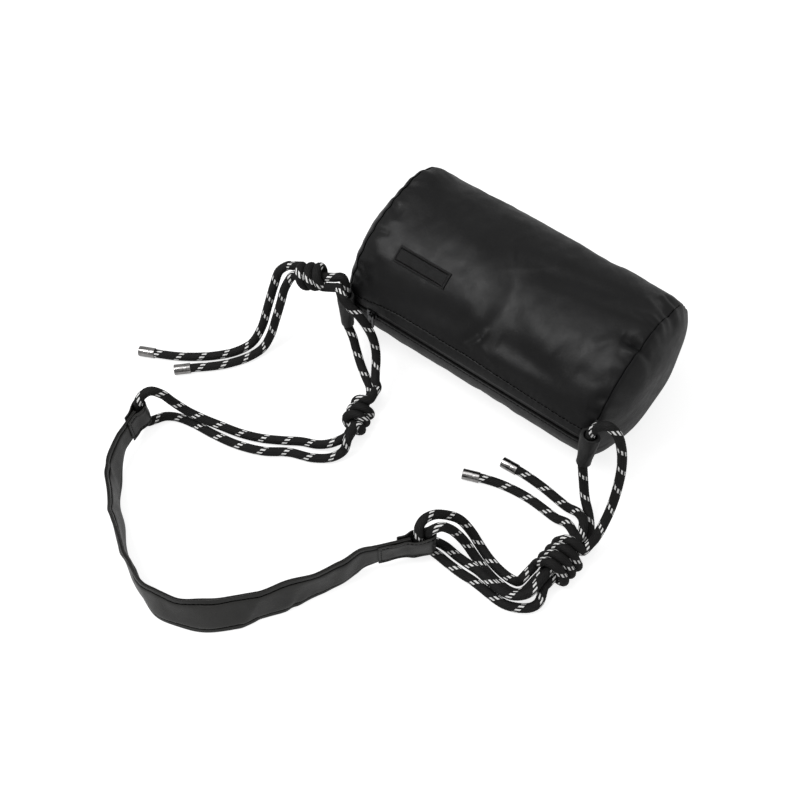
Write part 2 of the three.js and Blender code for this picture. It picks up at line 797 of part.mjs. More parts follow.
const strapUpperRoute = at(tunnels.left, [
  [-89.3, -171.5, 46.5], [-85.5, -165, 49], [-79, -159, 43], [-72.5, -154.5, 31],
  [-62.5, -149.5, 19.5], [-48.5, -144.5, 13.4], [-34.5, -139.5, 10], [-17.5, -133, 5.6],
  [0.5, -125, onFloor], [17.5, -115, onFloor], [31, -106, onFloor], [45, -100, 5.4],
  [55.6, -93.2, 9.6],
]);
const leftTunnelRoute = at(tunnels.left, [
  [45.5, -26.5, 11.5], [36.5, -20.5, 10], [25, -13.5, 13], [15, -7, 20], [7.5, -2.4, 29],
]);
const leftOverRoute = at(tunnels.left, [[-0.9, 1.2, 95.5], [-4.1, 1.3, 101.8]]);
const leftTailBackRoute = at(tunnels.left, [
  [-52.8, -21.4, 73.5], [-55.3, -26.5, 56], [-58, -33, 36], [-60, -41.5, 17], [-62, -51.5, 7],
  [-67.5, -66.5, onFloor], [-78.5, -84.5, onFloor], [-89.5, -96.5, onFloor], [-97, -104, inTip],
  [-102.75, -109.75, inTip], [-108.5, -115.5, inTip],
]);
const rightTailRoute = at(tunnels.right, [
  [-82.5, -44.5, inTip], [-75, -41.5, inTip], [-67.5, -38.5, inTip], [-55.5, -34.5, onFloor],
  [-41.5, -32, onFloor], [-25.5, -31, onFloor], [-10.5, -32, onFloor], [1.5, -33.5, 5.5],
  [13, -34, 9.8],
]);
const rightStrapSecond = at(tunnels.right, [
  [18.3, -105.5, 8.2], [15, -109.4, 5.8], [8.5, -111.6, 4.5], [0.5, -111.8, onFloor],
  [-10.5, -110.4, onFloor], [-23.5, -106.9, 4.8], [-33.5, -104.6, 9], [-42, -104, 17.5],
  [-49, -106.5, 29], [-54.7, -111, 40], [-60.1, -116.6, 46.2],
]);
const rightStrapFourth = at(tunnels.right, [
  [-63.9, -121.8, 6.2], [-57.5, -121.2, onFloor], [-46.5, -122.2, onFloor], [-33.5, -122.8, onFloor],
  [-21.5, -122.4, onFloor], [-10.5, -123, onFloor], [0.5, -124, onFloor], [11.5, -123.4, onFloor],
  [22, -119, onFloor], [29.8, -112.5, 4.6], [32.6, -106.5, 8.2],
]);
const rightLowRoute = at(tunnels.right, [
  [32.5, -31, 11.5], [24.5, -19.5, 13.5], [13.5, -10, 20], [6, -3.5, 32],
]);
const rightOverRoute = at(tunnels.right, [
  [3, 1.5, 108], [10.5, 4, 113.5], [19, 5, 108.5], [25.5, 4.5, 96], [31, 2, 78], [35, -3.5, 56],
  [38, -13, 36], [39.5, -25, 24],
]);
const rightStrapFirst = at(tunnels.right, [
  [9.3, -102, 8.2], [3, -102.3, 5], [-7.5, -101.5, onFloor], [-21.5, -98.2, onFloor],
  [-34.5, -94, 7.5], [-45.5, -92, 16.5], [-56, -94.5, 29.5], [-64.5, -102, 39], [-71, -111, 45.6],
  [-74.1, -120.5, 47.8], [-73.6, -127.2, 45.6],
]);
const rightStrapThird = at(tunnels.right, [
  [-73.9, -126.8, 6], [-73.5, -120, onFloor], [-68.5, -113.5, onFloor], [-58.5, -111.2, 4.6],
  [-44.5, -112.4, 4.6], [-32.5, -114, 8], [-21.5, -115, 10.8], [-10.5, -116.6, 10.8],
  [0.5, -118, 10.8], [10.5, -117.4, 11.8], [19, -113, 14.2], [24, -107, 18.4],
]);
const rightTailBackRoute = at(tunnels.right, [
  [25, -31.5, 23.5], [16.5, -24.5, 18.5], [4.5, -20.5, 9], [-7.5, -17, 4.6], [-20.5, -15, onFloor],
  [-32.5, -14, onFloor], [-46.5, -14, inTip], [-54, -14.5, inTip], [-61.5, -15, inTip],
]);

function addRope(name, stretches) {
  const line = ropeLine(stretches);
  addPiece(name, closedTube(sparse(line), ropeRadius, ropeSides), ropeBraid);
  addTip(`${name}_tip_a`, line[0], line[1]);
  addTip(`${name}_tip_b`, line.at(-1), line.at(-2));
  const length = lineLength(line).toFixed(0);
  console.log(`${name}: ${length} mm long, least gap to itself ${leastGap(line, line)}`);
  return line;
}

// The left rope winds round itself in both of its knots, and goes through the strap's left end
function buildLeftRope() {
  const { leftUpper, leftLower } = knots;
  return addRope('left_rope', [
    { free: leftTailRoute },
    { winding: [...leftUpper.line].reverse() },
    { free: leftOuterRoute },
    { winding: leftLower.line },
    {
      free: [
        ...strapLowerRoute,
        ...downThroughFold(strapEnds.left, 0).reverse(),
        ...strapUpperRoute,
        ...throughKnot(leftLower, 0, -1),
        ...leftTunnelRoute,
        ...upThroughTunnel(tunnels.left),
        ...leftOverRoute,
        ...throughKnot(leftUpper, 0, 1),
        ...leftTailBackRoute,
      ],
    },
  ]);
}

// The right rope goes twice through the strap's right end, and winds round three of its own strands
function buildRightRope() {
  const knot = knots.right;
  const [lowRight, top, lowLeft] = [0, 1, 2];
  return addRope('right_rope', [
    {
      free: [
        ...rightTailRoute,
        ...throughKnot(knot, lowLeft, 1),
        ...rightStrapSecond,
        ...downThroughFold(strapEnds.right, 0),
        ...rightStrapFourth,
        ...throughKnot(knot, lowRight, -1),
        ...rightLowRoute,
        ...upThroughTunnel(tunnels.right),
        ...rightOverRoute,
      ],
    },
    { winding: knot.line },
    {
      free: [
        ...rightStrapFirst,
        ...downThroughFold(strapEnds.right, 1),
        ...rightStrapThird,
        ...throughKnot(knot, top, -1),
        ...rightTailBackRoute,
      ],
    },
  ]);
}

// The line along the strap's lower edge on the floor, and how far its upper edge leans inwards
const foldOuter = ropeRadius + foldClearance + foldWall;
const flapRunShares = [0, 0.5, 0.9, 1.2];

// The straight stretch under a flap, from the pocket towards the middle of the strap
function straightEnd(end) {
  const [alongX, alongY] = end.heading;
  const pocket = foldPoint(end, end.ropes - 1, 0);
  return flapRunShares.map((share) => {
    const back = foldOuter + seat + share * (end.flap + foldOuter);
    return [pocket.x - alongX * back, pocket.y - alongY * back];
  });
}

// The strap's free run: the share of the way from its left end to its right end, and how far
// it lies in front of the tunnels
const strapRun = [
  [0.066, 227], [0.135, 247], [0.211, 264], [0.292, 280], [0.372, 292], [0.459, 299.5],
  [0.554, 297.5], [0.638, 286], [0.7, 268], [0.755, 244], [0.806, 216], [0.853, 188],
];
const strapRoute = [
  ...straightEnd(strapEnds.left),
  ...strapRun.map(([share, forward]) => [
    THREE.MathUtils.lerp(strapEnds.left.middle.x, strapEnds.right.middle.x, share),
    tunnelMiddleY - forward,
  ]),
  ...straightEnd(strapEnds.right).reverse(),
];
const strapLean = [0, 0, 0, 0, -4, -4, -2, 0, 2, 6, 10, 13, 12, 8, 4, 2, 0, 0, 0, 0];

// A layer of the strap between two distances from its middle, with a margin above and below
function strapLayer(inner, outer, margin) {
  const line = smooth(strapRoute.map(([x, y]) => new THREE.Vector3(x, y, 0)));
  const lean = smooth(strapLean.map((value, i) => new THREE.Vector3(i / (strapLean.length - 1), value, 0)));
  const total = line.getLength();
  const half = (strapFaceWall * 2 + strapCoreWall) / 2 + seat;
  const front = [];
  const back = [];
  for (let i = 0; i <= strapSteps; i += 1) {
    const share = i / strapSteps;
    const spot = line.getPointAt(share);
    const forward = line.getTangentAt(share);
    const outwards = new THREE.Vector3(0, 0, 1).cross(forward).negate();
    const fromEnd = Math.min(share, 1 - share) * total;
    const ease = 1 - THREE.MathUtils.smoothstep(fromEnd, strapEndRun / 2, strapEndRun * 2);
    const height = THREE.MathUtils.lerp(strapHeight, strapEndHeight, ease);
    const tilt = Math.asin(-lean.getPoint(line.getUtoTmapping(share)).y / strapHeight);
    const rise = outwards.clone().multiplyScalar(Math.sin(tilt)).setZ(Math.cos(tilt));
    const across = outwards.clone().multiplyScalar(Math.cos(tilt)).setZ(-Math.sin(tilt));
    const base = spot.clone().setZ(half * Math.abs(Math.sin(tilt)) + strapEndLift * ease);
    const corner = (offset, up) => base.clone().addScaledVector(across, offset).addScaledVector(rise, up);
    front.push([corner(outer, margin), corner(outer, height / 2), corner(outer, height - margin)]);
    back.push([corner(inner, margin), corner(inner, height / 2), corner(inner, height - margin)]);
  }
  return sheetBetween(front, back);
}

// A strap end: cloth folded round the rope, with a flap that is sewn down on the strap
function strapEnd(end) {
  const inner = ropeRadius + foldClearance;
  const back = (end.ropes - 1) * strandSpacing;
  const pocketOf = (radius, height) => {
    let solid = null;
    for (const shift of end.ropes > 1 ? [0, back] : [0]) {
      const tube = toSolid(prism(oval(radius, radius, 24, -shift, 0), height));
      solid = solid ? solid.add(tube) : tube;
    }
    return back > 0 ? solid.add(toSolid(prism(rectangle(-back, 0, -radius, radius), height))) : solid;
  };
  const strapHalf = strapCoreWall / 2 + seat + strapFaceWall;
  const flapInner = strapHalf + seat;
  const flapOuter = flapInner + strapFaceWall;
  const flapEnd = -back - foldOuter - end.flap;
  const flap = toSolid(prism(rectangle(flapEnd, -back, -flapOuter, -flapInner), strapEndHeight));
  const hole = pocketOf(inner, strapEndHeight + 2 * overrun).translate([0, 0, -overrun]);
  return fromSolid(pocketOf(foldOuter, strapEndHeight).add(flap).subtract(hole));
}

function buildStrap() {
  const coreHalf = strapCoreWall / 2;
  const faceInner = coreHalf + seat;
  const faceOuter = faceInner + strapFaceWall;
  addPiece('strap_face', strapLayer(faceInner, faceOuter, 0), strapCloth);
  addPiece('strap_core', strapLayer(-coreHalf, coreHalf, strapCoreMargin), strapFoam);
  addPiece('strap_backing', strapLayer(-faceOuter, -faceInner, seat), strapCloth);
  for (const [name, end] of Object.entries(strapEnds)) {
    const piece = addPiece(`strap_end_${name}`, strapEnd(end), strapCloth);
    piece.position.copy(end.middle);
    piece.rotation.z = Math.atan2(end.heading[1], end.heading[0]);
  }
}

buildBody();
buildEnds();
buildZip();
buildSlider();
buildLabel();
buildTunnels();
buildStrap();
const leftLine = buildLeftRope();
const rightLine = buildRightRope();
console.log(`least gap between the ropes ${leastGap(leftLine, rightLine)}`);

export default bag;
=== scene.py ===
"""A small barrel bag of coated nylon with two knotted ropes and a shoulder strap.

Metres, +Z up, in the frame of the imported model. The bag lies on the floor with its axis along X and
its zip towards -Y. Soft pieces are lofted here from the same sizes as the CAD solids that they
replace, and the rigid zip parts are the CAD solids themselves. On the bag, x is the distance along
it, and a is the distance round it from the middle of the zip, upwards over the front.
"""

import math

import bpy
import numpy as np
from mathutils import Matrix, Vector


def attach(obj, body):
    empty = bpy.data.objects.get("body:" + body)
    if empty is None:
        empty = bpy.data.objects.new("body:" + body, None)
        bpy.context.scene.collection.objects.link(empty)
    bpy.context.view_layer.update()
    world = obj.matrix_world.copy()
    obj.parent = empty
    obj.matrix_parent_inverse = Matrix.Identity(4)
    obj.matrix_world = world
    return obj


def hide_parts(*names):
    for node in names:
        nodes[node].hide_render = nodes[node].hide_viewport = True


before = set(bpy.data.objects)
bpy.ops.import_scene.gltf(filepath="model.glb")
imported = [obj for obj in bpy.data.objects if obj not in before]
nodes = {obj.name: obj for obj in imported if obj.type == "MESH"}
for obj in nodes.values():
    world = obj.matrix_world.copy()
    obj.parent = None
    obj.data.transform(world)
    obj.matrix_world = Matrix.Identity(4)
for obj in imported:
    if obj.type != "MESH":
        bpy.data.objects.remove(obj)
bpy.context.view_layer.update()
TURN = 2 * math.pi

# The camera stands where the photograph was taken from
CAMERA_PLACE = (0.28665, -0.54245, 0.84813)
CAMERA_TARGET = (-0.04945, -0.10288, 0.0)
CAMERA_LENS = 50
CAMERA_SENSOR = 36

# Bag body
BAG_HALF_LENGTH = 0.125
BAG_HALF_DEPTH = 0.08
BAG_HALF_HEIGHT = 0.0705
BAG_MIDDLE = 0.068
GIRTH = TURN * BAG_HALF_HEIGHT
END_TAPER = 0.015
END_DRAW_SHARE = 0.04
SEAT = 0.0003
SHELL_WALL = 0.0016
LINING_WALL = 0.0008
ZIP_SLOT = 0.0026
TAPE_WIDTH = 0.012
TAPE_GAP = 0.002
TAPE_WALL = 0.0006

# Ropes
ROPE_DIAMETER = 0.008
ROPE_RADIUS = ROPE_DIAMETER / 2
LINE_STEP = 0.0005
KNOT_RAMP = 0.007
KNOT_PITCH = 0.0089
KNOT_REACH = 0.0087
STRAND_SPACING = 0.0087
ON_FLOOR = 0.00425
IN_TIP = 0.0049
CORE_LEAD = 0.006
WINDING_LEAD = 0.004
FOLD_LEAD = 0.0025
TUNNEL_LEAD = 0.003
TRACER_PITCH = 0.021
BRAID_COLUMNS = 16
BRAID_STEP = TRACER_PITCH / BRAID_COLUMNS
BRAID_RELIEF = 0.00009

# Rope ends
TIP_LENGTH = 0.015
TIP_RADIUS = 0.00485
TIP_BORE = 0.00442
TIP_BORE_DEPTH = 0.011
TIP_EDGE = 0.00055
TIP_ROLL = 0.00025
TIP_SIDES = 48
CRIMPS = (0.0058, 0.0046)
CRIMP_DEPTH = 0.00007

# Rope tunnels: the middle of each, half way up
TUNNEL_HEIGHT = 0.042
TUNNEL_Y = -0.087
TUNNELS = {"left": (-0.1215, TUNNEL_Y, 0.063), "right": (0.1285, TUNNEL_Y, 0.074)}

# Shoulder strap
STRAP_HEIGHT = 0.038
STRAP_END_HEIGHT = 0.027
STRAP_END_LIFT = 0.011
STRAP_END_RUN = 0.03
STRAP_HALF_WALL = 0.0023
FOLD_WALL = 0.0013
FOLD_CLEARANCE = 0.0011


# Camera
def add_object(name, data, place=(0, 0, 0), target=None):
    """A new object in the scene, which looks from its place towards a target if it has one."""
    made = bpy.data.objects.new(name, data)
    bpy.context.scene.collection.objects.link(made)
    made.location = place
    if target:
        aim = Vector(target) - Vector(place)
        made.rotation_euler = aim.to_track_quat("-Z", "Y").to_euler()
    return made


camera = add_object("camera", bpy.data.cameras.new("camera"), CAMERA_PLACE, CAMERA_TARGET)
camera.data.lens = CAMERA_LENS
camera.data.sensor_width = CAMERA_SENSOR
bpy.context.scene.camera = camera


# Lines
def unit(vector):
    return np.asarray(vector, float) / np.linalg.norm(vector)


def lengths_along(line):
    return np.concatenate([[0], np.cumsum(np.linalg.norm(np.diff(line, axis=0), axis=1))])


def at_distance(wanted, along, line):
    """Places on a line at distances along it."""
    return np.stack([np.interp(wanted, along, line[:, i]) for i in range(line.shape[1])], -1)


def resample(line, count):
    """The same line with count even steps."""
    along = lengths_along(line)
    return at_distance(np.linspace(0, along[-1], count + 1), along, line)


def smooth_line(points, step):
    """A centripetal Catmull-Rom curve through the points, as even short steps."""
    points = np.asarray(points, float)
    held = np.vstack([2 * points[0] - points[1], points, 2 * points[-1] - points[-2]])
    share = np.linspace(0, 1, 60, endpoint=False)[:, None]
    fine = []
    for a, b, c, d in zip(held, held[1:], held[2:], held[3:]):
        ab, bc, cd = (np.linalg.norm(q - p) ** 0.5 for p, q in ((a, b), (b, c), (c, d)))
        leave = ((b - a) / ab - (c - a) / (ab + bc) + (c - b) / bc) * bc
        reach = ((c - b) / bc - (d - b) / (bc + cd) + (d - c) / cd) * bc
        square = (3 * (c - b) - 2 * leave - reach) * share**2
        cube = (2 * (b - c) + leave + reach) * share**3
        fine.append(b + leave * share + square + cube)
    fine = np.vstack(fine + [points[-1:]])
    return resample(fine, max(1, round(lengths_along(fine)[-1] / step)))


def directions(line):
    """The way ahead at each point of a line, one unit long."""
    forward = np.gradient(line, axis=0)
    return forward / np.linalg.norm(forward, axis=1)[:, None]


def smoothstep(value, low, high):
    share = np.clip((value - low) / (high - low), 0, 1)
    return share * share * (3 - 2 * share)


def bell(distance, width):
    """1 at no distance, falling to 0 over about a width."""
    return np.exp(-((distance / width) ** 2))


def rounded(distance, radius):
    """How far a rounded edge falls back at a distance from it."""
    inwards = np.clip(radius - distance, 0, radius)
    return radius - np.sqrt(np.clip(radius**2 - inwards**2, 0, None))


def beside(tunnel, x, y, z=ON_FLOOR):
    """A place measured from the foot of a tunnel, as the CAD routes are."""
    return (TUNNELS[tunnel][0] + x, TUNNEL_Y + y, z)


def route(tunnel, points):
    return [beside(tunnel, *point) for point in points]


# Knots
class Knot:
    """A strand winds round straight core strands. along runs from the tunnel to the far side."""

    def __init__(self, centre, axis, strands, turns, start):
        self.centre = np.array(centre)
        self.along = unit(axis)
        self.side = unit(np.cross((0, 0, 1), self.along))
        self.lift = np.cross(self.along, self.side)
        self.strands, self.turns, self.start = strands, turns, start
        self.line = self.winding()
        self.half_barrel = (self.line[-1] - self.line[0]) @ self.along / 2 - ROPE_DIAMETER

    def core(self, index):
        """Where a core strand lies round the knot's middle."""
        if self.strands == 1:
            return np.zeros(2)
        turn = TURN / self.strands
        radius = STRAND_SPACING / (2 * math.sin(turn / 2))
        angle = index * turn - turn / 4
        return radius * np.array([math.cos(angle), math.sin(angle)])

    def place(self, axial, spot):
        return self.centre + self.along * axial + self.side * spot[0] + self.lift * spot[1]

    def winding(self):
        """The winding strand: straight in, a swing round the core, the turns, and straight out."""
        turn = TURN / self.strands
        corner = KNOT_REACH * turn
        flat = STRAND_SPACING if self.strands > 1 else 0
        girth = self.strands * (corner + flat)
        steepest = math.atan(girth / KNOT_PITCH)
        ramp = steepest * smoothstep(np.linspace(0, 1, round(KNOT_RAMP / LINE_STEP) + 1), 0, 1)
        swung = (np.sin(ramp) * LINE_STEP).sum()
        steady = round((self.turns * girth - 2 * swung) / (math.sin(steepest) * LINE_STEP))
        straight = np.zeros(round(ROPE_DIAMETER / LINE_STEP))
        angles = np.concatenate([straight, ramp, np.full(steady, steepest), ramp[::-1], straight])
        axial = np.concatenate([[0], np.cumsum(np.cos(angles) * LINE_STEP)])
        swing = np.concatenate([[0], np.cumsum(np.sin(angles) * LINE_STEP)])
        first = -turn / 4 if self.strands > 1 else 0
        line = []
        for forward, distance in zip(axial - axial[-1] / 2, self.start * girth + swing):
            index = math.floor(distance / (corner + flat))
            past = distance - index * (corner + flat)
            angle = first + (index - 0.5) * turn + min(past, corner) / KNOT_REACH
            base = self.core(index)
            if past > corner:
                base = base + (self.core(index + 1) - base) * (past - corner) / flat
            reach = KNOT_REACH * np.array([math.cos(angle), math.sin(angle)])
            line.append(self.place(forward, base + reach))
        return np.array(line)

    def through(self, index, way):
        """Points that take a core strand straight through. The way is 1 towards the far side."""
        ends = [self.half_barrel + lead for lead in (CORE_LEAD, CORE_LEAD / 2, 0)]
        steps = [-end for end in ends] + ends[::-1]
        return [self.place(way * step, self.core(index)) for step in steps]


UPPER_KNOT = Knot(beside("left", -0.0295, -0.008, 0.0935), (-0.9, -0.26, -0.35), 1, 2.5, 0.4)
LOWER_KNOT = Knot(beside("left", 0.058, -0.058, 0.01295), (0.22, -1, 0), 1, 3, 0.667)
RIGHT_KNOT = Knot(beside("right", 0.0275, -0.069, 0.0155), (-0.1, -1, 0), 3, 3.44, 0.28)

# The strap's ends: the middle of the pocket, the way that the strap arrives, ropes and flap
STRAP_ENDS = {
    "left": {
        "middle": beside("left", -0.0905, -0.177, 0), "heading": (-0.2, 0.98),
        "ropes": 1, "flap": 0.015,
    },
    "right": {
        "middle": beside("right", -0.0662, -0.1236, 0), "heading": (0.62, 0.785),
        "ropes": 2, "flap": 0.028,
    },
}


def fold_point(end, index, height):
    x, y, _ = STRAP_ENDS[end]["middle"]
    along_x, along_y = STRAP_ENDS[end]["heading"]
    back = index * STRAND_SPACING
    return (x - along_x * back, y - along_y * back, height)


def down_through_fold(end, index):
    low, high = STRAP_END_LIFT, STRAP_END_LIFT + STRAP_END_HEIGHT
    heights = (high + FOLD_LEAD, high, (low + high) / 2, low)
    return [fold_point(end, index, height) for height in heights]


def up_through_tunnel(side):
    x, y, middle = TUNNELS[side]
    low, high = middle - TUNNEL_HEIGHT / 2, middle + TUNNEL_HEIGHT / 2
    return [(x, y, height) for height in (low - TUNNEL_LEAD, low, middle, high, high + TUNNEL_LEAD)]


# Rope routes from the foot of the rope's tunnel, as in the CAD source. A point that gives no
# height lies on the floor.
LEFT_TAIL_ROUTE = [
    (-0.1485, -0.1205, IN_TIP), (-0.1415, -0.117, IN_TIP), (-0.1345, -0.1135, IN_TIP),
    (-0.1215, -0.106), (-0.1065, -0.0955), (-0.092, -0.0825), (-0.0805, -0.0675),
    (-0.074, -0.053, 0.007), (-0.0705, -0.041, 0.021), (-0.0685, -0.031, 0.044),
    (-0.0655, -0.0225, 0.068), (-0.0626, -0.0156, 0.0846),
]
LEFT_OUTER_ROUTE = [
    (0.006, -0.0118, 0.0962), (0.0145, -0.0116, 0.0885), (0.0225, -0.01, 0.0805),
    (0.03, -0.0088, 0.07), (0.0355, -0.008, 0.0575), (0.04, -0.0096, 0.0435),
    (0.0435, -0.0136, 0.035), (0.0473, -0.0195, 0.0285), (0.0522, -0.026, 0.0236),
]
STRAP_LOWER_ROUTE = [
    (0.0685, -0.093, 0.009), (0.063, -0.1025, 0.0052), (0.05, -0.1125), (0.0295, -0.121),
    (0.0105, -0.134), (-0.0125, -0.143), (-0.0355, -0.1475), (-0.0575, -0.15), (-0.0735, -0.154),
    (-0.083, -0.16), (-0.0881, -0.1682), (-0.0899, -0.1742, 0.0064),
]
STRAP_UPPER_ROUTE = [
    (-0.0893, -0.1715, 0.0465), (-0.0855, -0.165, 0.049), (-0.079, -0.159, 0.043),
    (-0.0725, -0.1545, 0.031), (-0.0625, -0.1495, 0.0195), (-0.0485, -0.1445, 0.0134),
    (-0.0345, -0.1395, 0.01), (-0.0175, -0.133, 0.0056), (0.0005, -0.125), (0.0175, -0.115),
    (0.031, -0.106), (0.045, -0.1, 0.0054), (0.0556, -0.0932, 0.0096),
]
LEFT_TUNNEL_ROUTE = [
    (0.0455, -0.0265, 0.0115), (0.0365, -0.0205, 0.01), (0.025, -0.0135, 0.013),
    (0.015, -0.007, 0.02), (0.0075, -0.0024, 0.029),
]
LEFT_OVER_ROUTE = [
    (-0.0009, 0.0012, 0.0955), (-0.0041, 0.0013, 0.1018),
]
LEFT_TAIL_BACK_ROUTE = [
    (-0.0528, -0.0214, 0.0735), (-0.0553, -0.0265, 0.056), (-0.058, -0.033, 0.036),
    (-0.06, -0.0415, 0.017), (-0.062, -0.0515, 0.007), (-0.0675, -0.0665), (-0.0785, -0.0845),
    (-0.0895, -0.0965), (-0.097, -0.104, IN_TIP), (-0.10275, -0.10975, IN_TIP),
    (-0.1085, -0.1155, IN_TIP),
]
RIGHT_TAIL_ROUTE = [
    (-0.0825, -0.0445, IN_TIP), (-0.075, -0.0415, IN_TIP), (-0.0675, -0.0385, IN_TIP),
    (-0.0555, -0.0345), (-0.0415, -0.032), (-0.0255, -0.031), (-0.0105, -0.032),
    (0.0015, -0.0335, 0.0055), (0.013, -0.034, 0.0098),
]
RIGHT_STRAP_SECOND = [
    (0.0183, -0.1055, 0.0082), (0.015, -0.1094, 0.0058), (0.0085, -0.1116, 0.0045),
    (0.0005, -0.1118), (-0.0105, -0.1104), (-0.0235, -0.1069, 0.0048), (-0.0335, -0.1046, 0.009),
    (-0.042, -0.104, 0.0175), (-0.049, -0.1065, 0.029), (-0.0547, -0.111, 0.04),
    (-0.0601, -0.1166, 0.0462),
]
RIGHT_STRAP_FOURTH = [
    (-0.0639, -0.1218, 0.0062), (-0.0575, -0.1212), (-0.0465, -0.1222), (-0.0335, -0.1228),
    (-0.0215, -0.1224), (-0.0105, -0.123), (0.0005, -0.124), (0.0115, -0.1234), (0.022, -0.119),
    (0.0298, -0.1125, 0.0046), (0.0326, -0.1065, 0.0082),
]
RIGHT_LOW_ROUTE = [
    (0.0325, -0.031, 0.0115), (0.0245, -0.0195, 0.0135), (0.0135, -0.01, 0.02),
    (0.006, -0.0035, 0.032),
]
RIGHT_OVER_ROUTE = [
    (0.003, 0.0015, 0.108), (0.0105, 0.004, 0.1135), (0.019, 0.005, 0.1085),
    (0.0255, 0.0045, 0.096), (0.031, 0.002, 0.078), (0.035, -0.0035, 0.056),
    (0.038, -0.013, 0.036), (0.0395, -0.025, 0.024),
]
RIGHT_STRAP_FIRST = [
    (0.0093, -0.102, 0.0082), (0.003, -0.1023, 0.005), (-0.0075, -0.1015), (-0.0215, -0.0982),
    (-0.0345, -0.094, 0.0075), (-0.0455, -0.092, 0.0165), (-0.056, -0.0945, 0.0295),
    (-0.0645, -0.102, 0.039), (-0.071, -0.111, 0.0456), (-0.0741, -0.1205, 0.0478),
    (-0.0736, -0.1272, 0.0456),
]
RIGHT_STRAP_THIRD = [
    (-0.0739, -0.1268, 0.006), (-0.0735, -0.12), (-0.0685, -0.1135), (-0.0585, -0.1112, 0.0046),
    (-0.0445, -0.1124, 0.0046), (-0.0325, -0.114, 0.008), (-0.0215, -0.115, 0.0108),
    (-0.0105, -0.1166, 0.0108), (0.0005, -0.118, 0.0108), (0.0105, -0.1174, 0.0118),
    (0.019, -0.113, 0.0142), (0.024, -0.107, 0.0184),
]
RIGHT_TAIL_BACK_ROUTE = [
    (0.025, -0.0315, 0.0235), (0.0165, -0.0245, 0.0185), (0.0045, -0.0205, 0.009),
    (-0.0075, -0.017, 0.0046), (-0.0205, -0.015), (-0.0325, -0.014), (-0.0465, -0.014, IN_TIP),
    (-0.054, -0.0145, IN_TIP), (-0.0615, -0.015, IN_TIP),
]


def rope_line(*stretches):
    """A whole rope's middle line. A stretch is a list of free points, or the line of a winding."""
    line = []
    for i, points in enumerate(stretches):
        if isinstance(points, list):
            if i > 0:
                before = stretches[i - 1]
                way = unit(before[-1] - before[-2]) * WINDING_LEAD
                points = [before[-1], before[-1] + way, *points]
            if i + 1 < len(stretches):
                after = stretches[i + 1]
                way = unit(after[1] - after[0]) * WINDING_LEAD
                points = [*points, after[0] - way, after[0]]
            points = smooth_line(points, LINE_STEP)
        line.append(points)
    line = np.vstack(line)
    apart = np.linalg.norm(np.diff(line, axis=0), axis=1)
    return line[np.concatenate([[True], apart > LINE_STEP / 2])]


def left_rope_line():
    inner = [
        *route("left", STRAP_LOWER_ROUTE), *down_through_fold("left", 0)[::-1],
        *route("left", STRAP_UPPER_ROUTE), *LOWER_KNOT.through(0, -1),
        *route("left", LEFT_TUNNEL_ROUTE), *up_through_tunnel("left"),
        *route("left", LEFT_OVER_ROUTE), *UPPER_KNOT.through(0, 1),
        *route("left", LEFT_TAIL_BACK_ROUTE),
    ]
    tail, outer = route("left", LEFT_TAIL_ROUTE), route("left", LEFT_OUTER_ROUTE)
    return rope_line(tail, UPPER_KNOT.line[::-1], outer, LOWER_KNOT.line, inner)


def right_rope_line():
    low_right, top, low_left = 0, 1, 2
    first = [
        *route("right", RIGHT_TAIL_ROUTE), *RIGHT_KNOT.through(low_left, 1),
        *route("right", RIGHT_STRAP_SECOND), *down_through_fold("right", 0),
        *route("right", RIGHT_STRAP_FOURTH), *RIGHT_KNOT.through(low_right, -1),
        *route("right", RIGHT_LOW_ROUTE), *up_through_tunnel("right"),
        *route("right", RIGHT_OVER_ROUTE),
    ]
    last = [
        *route("right", RIGHT_STRAP_FIRST), *down_through_fold("right", 1),
        *route("right", RIGHT_STRAP_THIRD), *RIGHT_KNOT.through(top, -1),
        *route("right", RIGHT_TAIL_BACK_ROUTE),
    ]
    return rope_line(first, RIGHT_KNOT.line, last)


# Mesh helpers
def add_piece(name, points, faces, uvs, shader, node=None, crease=50):
    """A smooth-shaded mesh on the bag's body, with UVs in metres for each point or corner."""
    mesh = bpy.data.meshes.new(name)
    mesh.from_pydata(np.asarray(points).tolist(), [], faces)
    if uvs is not None:
        if len(uvs) == len(points):
            uvs = uvs[np.concatenate(faces)]
        layer = mesh.uv_layers.new(name="cloth")
        layer.uv.foreach_set("vector", np.asarray(uvs, np.float32).ravel())
    mesh.validate()
    mesh.shade_smooth()
    mesh.set_sharp_from_angle(angle=math.radians(crease))
    mesh.materials.append(shader.material)
    piece = add_object(name, mesh)
    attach(piece, "bag")
    if node:
        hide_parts(node)
    return piece


def faced_out(points, faces):
    """The faces of a closed mesh, turned outwards: its volume comes out above nothing."""
    thirds = [(face[0], *face[k:k + 2]) for face in faces for k in range(1, len(face) - 1)]
    a, b, c = np.asarray(points)[np.array(thirds).T]
    return [face[::-1] for face in faces] if (a * np.cross(b, c)).sum() < 0 else faces


def circle(centre, across, up, radius, sides):
    """Points round a centre, in the plane of two directions."""
    angles = TURN * np.arange(sides) / sides
    rim = np.cos(angles)[:, None] * across + np.sin(angles)[:, None] * up
    return centre + np.reshape(radius, (-1, 1)) * rim


def ring_rows(count, sides, start=0):
    return [range(start + row * sides, start + (row + 1) * sides) for row in range(count)]


def ring_faces(rows):
    """Faces between rows of point numbers that close into rings. A row of one point is a pole."""
    faces = []
    for upper, lower in zip(rows, rows[1:]):
        here, there = len(upper), len(lower)
        for k in range(max(here, there)):
            after = k + 1
            corners = (upper[k % here], upper[after % here], lower[after % there], lower[k % there])
            faces.append(list(dict.fromkeys(corners)))
    return faces


